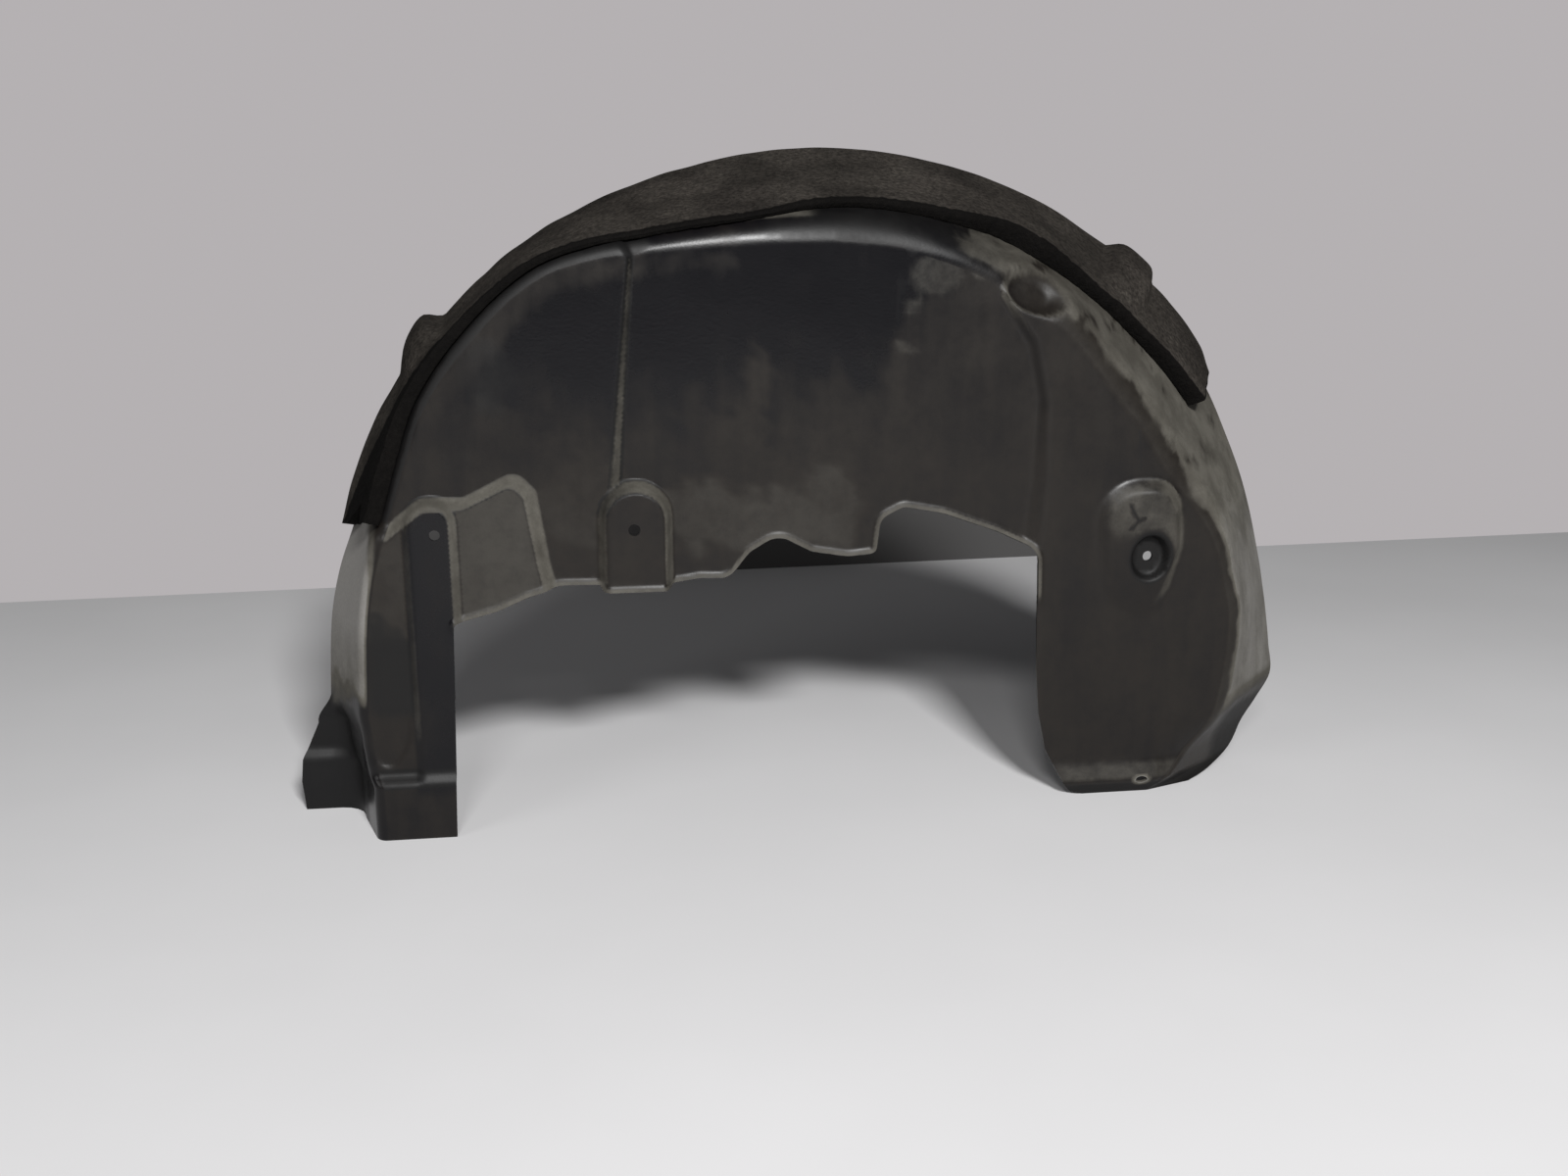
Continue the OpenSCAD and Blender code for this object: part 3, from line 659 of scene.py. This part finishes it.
def paleDustAndLight(p):
    # pale dust together with painted highlights and a painted reflection
    s = dirtAndPaintedLight
    x, z = p.flat.T
    onForms = p.wall * strongest(mouldedLedges(p), bossAndEdges(p), blots(x, z, s["patches"]))
    pale = strongest(onForms, shoulderDust(p)) * (1 - 0.85 * ease(z, 82, 50) * ease(x, 352, 372))
    pale = strongest(pale, bandDustAndSheen(p))
    ring = p.nearSeat * ease(p.seatGap, -6, -1) * ease(p.seatGap, 5, 1)
    # inside the seat: dust, with a painted highlight on its lower side
    inside = p.nearSeat * ease(p.seatGap, 0, 2) * mixed(*s["seatDustAndLitSide"], p.litCrescent)
    pale = strongest(pale * (1 - p.nearSeat * ease(p.seatGap, -2, 2)), s["seatRing"] * ring, inside)
    for line in wallSettings["cracks"]:
        pale = pale * (1 - 0.6 * crackField(p, line))
    return pale


def crackField(p, line):
    return p.wall * ease(lineDistance(p.flat, np.array(line)), 2.2, 0.4)


def brownFilm(p):
    s = dirtAndPaintedLight
    x, z = p.flat.T
    base, more = s["filmBase"]
    film = strongest(base + more * ease(z + 30 * p.rough, 385, 270),
                     s["filmRight"] * ease(x + 14 * p.rough - graph(s["filmEdge"], z), -16, 12),
                     blots(x + 9 * p.rough, z + 14 * speckle(p.points, 15.0, 2.0), s["films"]))
    film = mixed(film, mixed(*s["filmPlateau"], ease(x, -300, -270)), p.onPlateau * ease(z, 150, 162))
    film = mixed(film, s["filmPost"], p.onPost * ease(z, 30, 45))
    film = mixed(film, s["filmTab"], p.inTab)
    film = mixed(film, s["filmFoot"], p.onPlateau * (1 - p.onPost) * ease(z, 100, 60))
    film = np.where(p.onWall, film, mixed(*s["filmBand"], ease(x, 120, 215)))
    leftShoulder = ease(p.outside + 5 * p.rough, -26, -8) * ease(p.station + 10 * p.rough, 97, 120)
    return strongest(film, s["filmShoulder"] * leftShoulder)


def darkStainAndShade(p):
    # dark stains and cracks, and painted shade in the hollows, under the foam and under the lip and lobe
    s = dirtAndPaintedLight
    x, z = p.flat.T
    # painted shade inside the seat, apart from its lit lower side
    seatInsideShade = p.nearSeat * ease(p.seatGap, 0, 2) * (1 - p.litCrescent)
    foot = ease(z + 14 * p.rough + 0.73 * (x + 301), 170, 150) * ease(x, -297, -304) * ease(x, -350, -326)
    foot *= 1 - 0.8 * ease(z, 108, 84)
    # painted shadow on the left shoulder under the foam's overhang
    leftFoamShade = ease(x, -96, -130) * ease(z, 240, 252) * ease(-p.normals[:, 1], 0.9995, 0.97)
    leftFoamShade *= 1 - ease(x, -318, -330) * ease(z, 282, 268)
    # painted shade on the shoulder under the foam's front edge
    underFoamShade = ease(p.outside, -2, 6) * ease(p.station, 62, 70) * ease(p.station, 104, 92)
    cracks = [s["stainCrack"] * crackField(p, line) for line in wallSettings["cracks"]]
    # besides the stains, painted shade in the boss's pocket
    return strongest(p.wall * blots(x, z, s["stains"]), s["pocketShade"] * p.pocket * p.wall,
                     s["seatShade"] * seatInsideShade, s["stainFoot"] * foot, leftFoamShade,
                     # painted shade on the boot's ledge
                     s["bootLedgeShade"] * ease(z, 38, 43) * ease(z, 58, 53) * ease(x, -250, -262) * p.wall,
                     # painted shade at the left foot's lower end
                     s["leftEndShade"] * ease(x, -338, -350) * ease(z, 112, 88),
                     # painted shade under the lip
                     s["lipUnderShade"] * ease(z, 12, 7) * ease(x, 190, 205),
                     # painted shade where the lobe turns under
                     s["lobeUnderShade"] * ease(z, 80, 48) * ease(x, 330, 366),
                     s["shadeUnderFoam"] * underFoamShade, *cracks)


def addField(piece, name, values):
    field = piece.data.attributes.new(name, "FLOAT", "POINT")
    field.data.foreach_set("value", np.asarray(values, np.float32))


def buildShell():
    points, triangles, quads = shellSurface()
    quads = np.array(quads)
    onWall = np.arange(len(points)) < triangles.max() + 1
    places = ShellPlaces(points, vertexNormals(points, [triangles, quads]), onWall)
    points = sinkSeat(points)
    normals = vertexNormals(points, [triangles, quads])
    points = points + normals * wavy(points)[:, None]
    points[:, 1:] = np.maximum(points[:, 1:], 0.0)
    normals = vertexNormals(points, [triangles, quads])
    inner = points - normals * archSettings["sheet"]
    inner[:, 2] = np.maximum(inner[:, 2], 0.0)
    count = len(points)
    faces = [tuple(f) for f in triangles] + [tuple(f) for f in quads]
    used = {}
    for face in faces:
        for a, b in zip(face, face[1:] + face[:1]):
            used[(a, b)] = used.get((a, b), 0) + 1
    border = [(a, b) for a, b in used if (b, a) not in used]
    faces += [tuple(i + count for i in reversed(f)) for f in faces]
    faces += [(b, a, a + count, b + count) for a, b in border]
    piece = meshObject("linerMoulding", np.vstack([points, inner]), faces, 62)
    for name, field in (("paleDustAndLight", paleDustAndLight), ("brownFilm", brownFilm), ("darkStainAndShade", darkStainAndShade)):
        values = field(places)
        addField(piece, name, np.concatenate([values, 0.4 * values]))
    return piece


shell = buildShell()
print("shell built:", len(shell.data.vertices), "points", len(shell.data.polygons), "faces")

foamSettings = {
    "thickness": 8.0, "gap": 0.15, "cornerRadius": 2.2,
    "first": 26.0, "last": 165.0, "pitch": 0.45,
    # station, start behind the shoulder, thickness at the front, thickness at the rim
    "rows": [
        (26, 58, 1.9, 1.2), (30, 54, 1.8, 1.85), (36, 50, 1.65, 1.75), (41, 44, 1.55, 1.65),
        (45, 39, 1.5, 1.65), (49, 33, 1.5, 1.5), (58, 30, 2.1, 1.4), (62, 33, 2.0, 1.3),
        (66, 27, 1.7, 1.2), (71, 20, 1.3, 1.1), (77, 14, 1.1, 1.15), (84, 11, 1.0, 1.15),
        (89, 6, 0.9, 1.1), (95, -4, 0.75, 1.05), (101, -10, 0.7, 1.05), (112, -8.5, 0.72, 1.1),
        (119, -7, 0.75, 1.15), (130, -7, 0.85, 1.3), (138, -7, 1.05, 1.4), (148, -9.5, 1.3, 1.5),
        (155, -10, 1.55, 1.5), (162, -10, 1.6, 1.3), (168, -10, 1.5, 1.15),
    ],
    "humps": [
        (30, 0), (39.2, 0), (39.8, 4), (40.4, 8), (41.2, 11), (43.2, 11.5), (45.2, 10.2), (46, 6.5),
        (46.8, 0), (60, 0), (120, 0), (138.8, 0), (139.5, 2), (140, 7), (140.5, 12), (141.7, 14),
        (143.5, 12.5), (144.7, 10), (146.3, 5), (148.3, 0), (160, 0),
    ],
    # height, how often and seed: waves of the front edge and of the thickness there
    "raggedEdge": [(1.6, 0.9, 3), (0.9, 3.1, 8)],
    "unevenFront": [(0.9, 1.3, 20), (0.5, 4, 31)],
    # station and how far the dark cut face reaches back
    "darkWidth": [(26, 1.5), (60, 2.5), (95, 1.0), (138, 2.0), (152, 26.0), (165, 70.0)],
    # left end: how far it slants, where its notch is, how deep and how wide towards front and rim
    "leftSlant": 3.2, "leftStart": -1.0, "notchAt": 0.17, "notchDepth": 2.4, "notchReach": (0.15, 0.45),
}


def foamFrame(s):
    # where the strip starts on the band, the way along it and out of it, and the band's length
    level = float(along([(r[0], r[2]) for r in archSettings["stations"]], s, 1))
    bend, _ = sectionAt(s, level)
    start, rim = bend[-1], rimPoint(s)
    length = np.linalg.norm(rim - start)
    way = (rim - start) / length
    return start, way, np.array([way[1], -way[0]]), length


def edgeWaves(rows, s):
    return sum(height * noise.noise(Vector((s * often, seed, 0))) for height, often, seed in rows)


def foamSection(s, length):
    # ring of points round the strip's section: how far back on the band and how high above it
    table, t0 = foamSettings["rows"], foamSettings["thickness"]
    a = along(table, s, 1) + max(edgeWaves(foamSettings["raggedEdge"], s), -0.4)
    front, back = t0 * along(table, s, 2), t0 * along(table, s, 3)
    front += edgeWaves(foamSettings["unevenFront"], s)
    hump = max(0.0, float(along(foamSettings["humps"], s, 1)))
    shares = np.linspace(0, 1, 15)
    across = a + (length - 0.3 - a) * shares
    height = front + (back - front) * shares + hump * ease(shares, 0.1, 0.62)
    height = height + [0.8 * noise.noise(Vector((s * 0.25, float(v) * 0.05, 40))) for v in across]
    gap, r = foamSettings["gap"], foamSettings["cornerRadius"]
    ring = [(across[0] + r * 0.3, gap), (across[0], gap + r * 0.4)]
    for k in (0, 0.33, 0.66, 1):
        ring.append((across[0] - 0.5 * math.sin(math.pi * k), mixed(gap + r, height[0] - r, k)))
    ring += [(across[0] + 0.35 * r, height[0] - 0.35 * r)]
    ring += list(zip(across[1:-1], height[1:-1]))
    ring += [(across[-1] - 0.4 * r, height[-1] - 0.2 * r), (across[-1], height[-1] - r)]
    ring += [(across[-1], mixed(height[-1], gap, k)) for k in (0.5, 0.8)]
    ring += [(across[-1] - 0.3 * r, gap)]
    return ring + [(v, gap) for v in across[-2:0:-1]]


def leftEnd(share):
    # fishtail at the left end: a short tongue in front, a notch and a longer tongue at the rim
    s = foamSettings
    reach = s["notchReach"][0 if share < s["notchAt"] else 1]
    tongues = s["leftSlant"] * share + s["leftStart"]
    tongues -= s["notchDepth"] * max(0.0, 1 - abs(share - s["notchAt"]) / reach)
    return tongues + 0.35 * noise.noise(Vector((share * 9, 5, 0)))


def rightEnd(share):
    return 0.4 * share + 0.3 * noise.noise(Vector((share * 7, 2, 0)))


def buildFoam():
    first, last = foamSettings["first"], foamSettings["last"]
    steps = int((last - first) / foamSettings["pitch"])
    points, faces, cutFace = [], [], []
    for k in range(steps + 1):
        u = k / steps
        station = mixed(first, last, u)
        length = foamFrame(station)[3]
        ring = foamSection(station, length)
        darkWidth = graph(foamSettings["darkWidth"], station)
        for back, height in ring:
            shift = leftEnd(back / length) * ease(u, 0.94, 1.0) + rightEnd(back / length) * ease(u, 0.03, 0.0)
            begin, way, out, _ = foamFrame(station + shift)
            p = begin + way * back + out * height
            points.append(place(station + shift, p[0], p[1]))
            fromFront = back - ring[1][0]
            onFront = 1.0 if fromFront < 1.2 else ease(fromFront, darkWidth + 5, darkWidth)
            cutFace.append(max(onFront, ease(u, 0.004, 0.0), ease(u, 0.996, 1.0)))
    size = len(ring)
    for k in range(steps):
        for i in range(size):
            a, b = k * size + i, k * size + (i + 1) % size
            faces.append((a, b, b + size, a + size))
    # the ends are closed by quads between the outer and the inner side of the ring
    cap = [tuple(range(8)) + (37,), tuple(range(19, 26))]
    cap += [(6 + j, 7 + j, 37 - j, 38 - j) for j in range(1, 13)]
    faces += cap
    faces += [tuple(i + steps * size for i in reversed(face)) for face in cap]
    piece = meshObject("foamSeal", np.array(points), faces, 50)
    addField(piece, "cutFace", cutFace)
    return piece


foam = buildFoam()
print("foam built:", len(foam.data.vertices), "points")


class Field:
    # a shader socket with arithmetic: an expression on values adds its Math nodes
    def __init__(self, maker, socket):
        self.maker, self.socket = maker, socket

    def math(self, operation, *others, **settings):
        values = dict(enumerate((self,) + others))
        return self.maker.node("ShaderNodeMath", dict(operation=operation, **settings), values)

    def __add__(self, other):
        return self.math("ADD", other)

    __radd__ = __add__

    def __sub__(self, other):
        return self.math("SUBTRACT", other)

    def __rsub__(self, other):
        return self.maker.node("ShaderNodeMath", {"operation": "SUBTRACT"}, {0: other, 1: self})

    def __mul__(self, other):
        return self.math("MULTIPLY", other)

    __rmul__ = __mul__

    def power(self, other):
        return self.math("POWER", other)

    def below(self, other):
        return self.math("MINIMUM", other)

    def eased(self, low, high):
        values = {"Value": self, "From Min": low, "From Max": high, "To Min": 0.0, "To Max": 1.0}
        return self.maker.node("ShaderNodeMapRange", {"interpolation_type": "SMOOTHSTEP"}, values)


class NodeMaker:
    # makes the nodes of a material or of the world
    def __init__(self, owner, outputKind):
        owner.use_nodes = True
        self.owner, self.tree = owner, owner.node_tree
        self.tree.nodes.clear()
        self.output = self.tree.nodes.new(outputKind)

    def node(self, kind, settings, values, output=0):
        made = self.tree.nodes.new(kind)
        for key, value in settings.items():
            setattr(made, key, value)
        for key, value in values.items():
            if isinstance(value, Field):
                self.tree.links.new(value.socket, made.inputs[key])
            else:
                made.inputs[key].default_value = value
        return Field(self, made.outputs[output])

    def noise(self, place, scale, detail=3.0, roughness=0.55, distortion=0.0):
        values = {"Vector": place, "Scale": scale, "Detail": detail, "Roughness": roughness,
                  "Distortion": distortion}
        return self.node("ShaderNodeTexNoise", {}, values)

    def mixed(self, share, a, b):
        fix = [v + (1.0,) if isinstance(v, tuple) else v for v in (a, b)]
        return self.node("ShaderNodeMix", {"data_type": "RGBA"}, {0: share, 6: fix[0], 7: fix[1]}, 2)

    def place(self):
        return self.node("ShaderNodeTexCoord", {}, {}, "Object")

    def field(self, name):
        return self.node("ShaderNodeAttribute", {"attribute_name": name}, {}, "Fac")

    def stretched(self, x, y, z):
        return self.node("ShaderNodeVectorMath", {"operation": "MULTIPLY"}, {0: self.place(), 1: (x, y, z)})

    def finish(self, colour, roughness, height=None, strength=0.5, distance=0.001, **constants):
        values = {"Base Color": colour, "Roughness": roughness, **constants}
        if height is not None:
            bump = {"Strength": strength, "Distance": distance, "Height": height}
            values["Normal"] = self.node("ShaderNodeBump", {}, bump)
        return self.close(self.node("ShaderNodeBsdfPrincipled", {}, values))

    def close(self, shader):
        self.tree.links.new(shader.socket, self.output.inputs["Surface"])
        return self.owner


def newMaterial(name):
    return NodeMaker(bpy.data.materials.new(name), "ShaderNodeOutputMaterial")


plasticSettings = {
    "clean": (0.0024, 0.0023, 0.0032),
    "film": (0.0112, 0.0090, 0.0071),
    "filmLight": (0.0345, 0.0316, 0.0270),
    # stain is also the colour of the painted shade
    "stainAndShade": (0.0030, 0.0029, 0.0030),
    "dust": (0.068, 0.063, 0.052),
    "dustLight": (0.110, 0.103, 0.087),
    # chalk is the thickest dust, and also paints the left band's reflection and the glint by the lip's hole
    "chalkAndSheen": (0.200, 0.193, 0.182),
}


def plasticMaterial():
    m = newMaterial("usedBlackPlastic")
    s = plasticSettings
    cloudy = m.noise(m.place(), 11.0, 7.0, 0.62, 0.4)
    patchy = m.noise(m.place(), 34.0, 6.0, 0.62, 0.3)
    fine = m.noise(m.place(), 130.0, 5.0, 0.65)
    grit = m.noise(m.place(), 520.0, 3.0, 0.6)
    streaks = m.noise(m.stretched(1, 1, 0.1), 75.0, 5.0, 0.6)
    pale, film, stainAndShade = m.field("paleDustAndLight"), m.field("brownFilm"), m.field("darkStainAndShade")
    smears = m.noise(m.stretched(1, 1, 0.22), 26.0, 4.0, 0.55, 0.5)
    uneven = cloudy * 0.35 + patchy * 0.3 + streaks * 0.25 + smears * 0.4 - 0.65
    filmMask = (film + uneven * 1.3).eased(0.12, 0.8) * (0.55 + fine * 0.8).below(1.0)
    filmTone = (patchy * 0.3 + uneven * 0.5 + 0.15 + film - 0.88).eased(0.1, 0.75)
    colour = m.mixed(filmMask, s["clean"], m.mixed(filmTone, s["film"], s["filmLight"]))
    # dark stains, and painted shade from the same colour
    stainAndShadeMask = (stainAndShade + uneven * 0.9).eased(0.3, 0.8)
    colour = m.mixed(stainAndShadeMask * 0.85, colour, s["stainAndShade"])
    # pale dust, and the painted highlights and reflection from the same field
    paleMask = (pale + uneven * 0.6 + (fine - 0.5) * 0.3).eased(0.18, 0.7) * pale.below(1.0).power(1.2)
    paleColour = m.mixed(patchy.eased(0.38, 0.7), s["dust"], s["dustLight"])
    # the chalk share: thickest dust, the left band's painted reflection and the painted glint
    paleColour = m.mixed((pale + uneven * 0.5).eased(1.0, 1.4), paleColour, s["chalkAndSheen"])
    colour = m.mixed(paleMask * (0.72 + grit * 0.4).below(1.0), colour, paleColour)
    roughness = (0.23 + 0.18 * filmMask + 0.2 * stainAndShadeMask + 0.06 * patchy) * (1 - paleMask) + 0.82 * paleMask
    height = 0.5 * grit + 0.5 * fine + 0.35 * paleMask
    return m.finish(colour, roughness, height, 0.16, 0.0006, **{"Specular IOR Level": 0.27})


foamLook = {
    "clean": (0.0028, 0.0026, 0.0025),
    "dusty": (0.043, 0.0380, 0.0330),
    "pale": (0.066, 0.060, 0.050),
}


def foamMaterial():
    m = newMaterial("dustyFoam")
    s = foamLook
    cut = m.field("cutFace")
    cloudy = m.noise(m.place(), 16.0, 6.0, 0.62)
    cells = m.noise(m.place(), 300.0, 4.0, 0.65)
    fibres = m.noise(m.stretched(1, 0.35, 1), 620.0, 3.0, 0.6)
    edge = (cut + (cloudy - 0.5) * 0.5 + (cells - 0.5) * 0.3).eased(0.35, 0.65)
    dust = (0.45 + 0.6 * cloudy.eased(0.3, 0.7)) * (0.35 + 0.75 * cells.eased(0.25, 0.7))
    colour = m.mixed(dust.below(1.0), s["clean"], s["dusty"])
    colour = m.mixed((cells.eased(0.55, 0.75) * cloudy.eased(0.42, 0.66) * 0.8).below(1.0), colour, s["pale"])
    colour = m.mixed(edge * 0.94, colour, s["clean"])
    height = cells + 0.6 * fibres + 0.4 * cloudy
    return m.finish(colour, 0.98 - 0.05 * cells, height, 0.7, 0.0016, **{"Specular IOR Level": 0.04})


plastic = plasticMaterial()
foamy = foamMaterial()
for piece, node, slotName, material in ((shell, "liner_shell", "moulded_plastic", plastic),
                                        (foam, "foam_strip", "sealing_foam", foamy)):
    piece.data.materials.append(material)
    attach(piece, "root")
    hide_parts(node)
print("materials made")

roomSettings = {
    "floor": (0.62, 0.615, 0.62),
    "wallFootShadow": (0.07, 0.068, 0.067),
    "beyond": (0.462, 0.440, 0.449),
    "skyLight": (0.055, 0.055, 0.057),
    # where the floor ends at x = 0, how much further back per m to the right, and how far it goes
    "wallLine": (0.786, 0.0415), "reach": 5.0,
    # the low part of the wall that shows through the opening, painted dark as the wall in the object's
    # shadow: from x, to x, height
    "footSpan": (-0.26, 0.8, 0.09),
    # position, size, power
    "lamps": {
        "keyLamp": ((0.5, -2.4, 1.7), (0.5, 0.4), 110),
        "fillLamp": ((-0.4, -2.3, 1.6), (0.5, 0.4), 22),
        "leftLamp": ((-2.2, -1.5, 1.1), (1.2, 1.2), 12),
    },
    "lampTarget": (0.14, 0.06, 0.0),
}


def plainSurface(name, colour):
    m = newMaterial(name)
    speck = m.noise(m.place(), 3.0, 4.0, 0.5)
    tone = m.mixed(speck.eased(0.2, 0.8), tuple(0.97 * c for c in colour), tuple(1.03 * c for c in colour))
    return m.finish(tone, 0.85)


def roomPlane(name, corners, material):
    mesh = bpy.data.meshes.new(name)
    mesh.from_pydata(corners, [], [(0, 1, 2, 3)])
    plane = bpy.data.objects.new(name, mesh)
    mesh.materials.append(material)
    bpy.context.scene.collection.objects.link(plane)


ground = -originShift[2] / 1000


def onWallLine(x, z=ground):
    at, slope = roomSettings["wallLine"]
    return (x, at + x * slope, z)


far = roomSettings["reach"]
left, right, tall = roomSettings["footSpan"]
roomPlane("floor", [(-far, -far, ground), (far, -far, ground), onWallLine(far), onWallLine(-far)],
          plainSurface("paleFloor", roomSettings["floor"]))
# the wall's foot, painted dark as shadow
roomPlane("wallFootShadow", [onWallLine(left), onWallLine(right), onWallLine(right, ground + tall),
                       onWallLine(left, ground + tall)],
          plainSurface("paintedShadowWall", roomSettings["wallFootShadow"]))
print("room made")


def areaLamp(name, position, size, power):
    lamp = bpy.data.lights.new(name, "AREA")
    lamp.shape = "RECTANGLE"
    lamp.size, lamp.size_y = size
    lamp.energy = power
    holder = bpy.data.objects.new(name, lamp)
    holder.location = position
    toTarget = Vector(roomSettings["lampTarget"]) - Vector(position)
    holder.rotation_euler = toTarget.to_track_quat("-Z", "Y").to_euler()
    bpy.context.scene.collection.objects.link(holder)


for name, row in roomSettings["lamps"].items():
    areaLamp(name, *row)


def paleRoom():
    # pale where the camera sees it, and dimmer as a light
    m = NodeMaker(bpy.data.worlds.new("paleRoom"), "ShaderNodeOutputWorld")
    seen = m.node("ShaderNodeLightPath", {}, {}, "Is Camera Ray")
    tint = m.mixed(seen, roomSettings["skyLight"], roomSettings["beyond"])
    return m.close(m.node("ShaderNodeBackground", {}, {"Color": tint, "Strength": 1.0}))


bpy.context.scene.world = paleRoom()
print("lamps and world made")

cameraSettings = {
    "position": (-0.043996, -1.11487, 0.252594),
    "elevation": 15.0, "turn": 8.0, "lens": 35.03,
}
camera = bpy.data.cameras.new("photoCamera")
camera.lens = cameraSettings["lens"]
camera.sensor_width = 36.0
camera.clip_end = 50
cameraHolder = bpy.data.objects.new("photoCamera", camera)
cameraHolder.location = cameraSettings["position"]
cameraHolder.rotation_euler = (math.radians(90 - cameraSettings["elevation"]), 0,
                               -math.radians(cameraSettings["turn"]))
bpy.context.scene.collection.objects.link(cameraHolder)
bpy.context.scene.camera = cameraHolder
bpy.context.scene.view_settings.view_transform = "Standard"

bpy.context.view_layer.update()
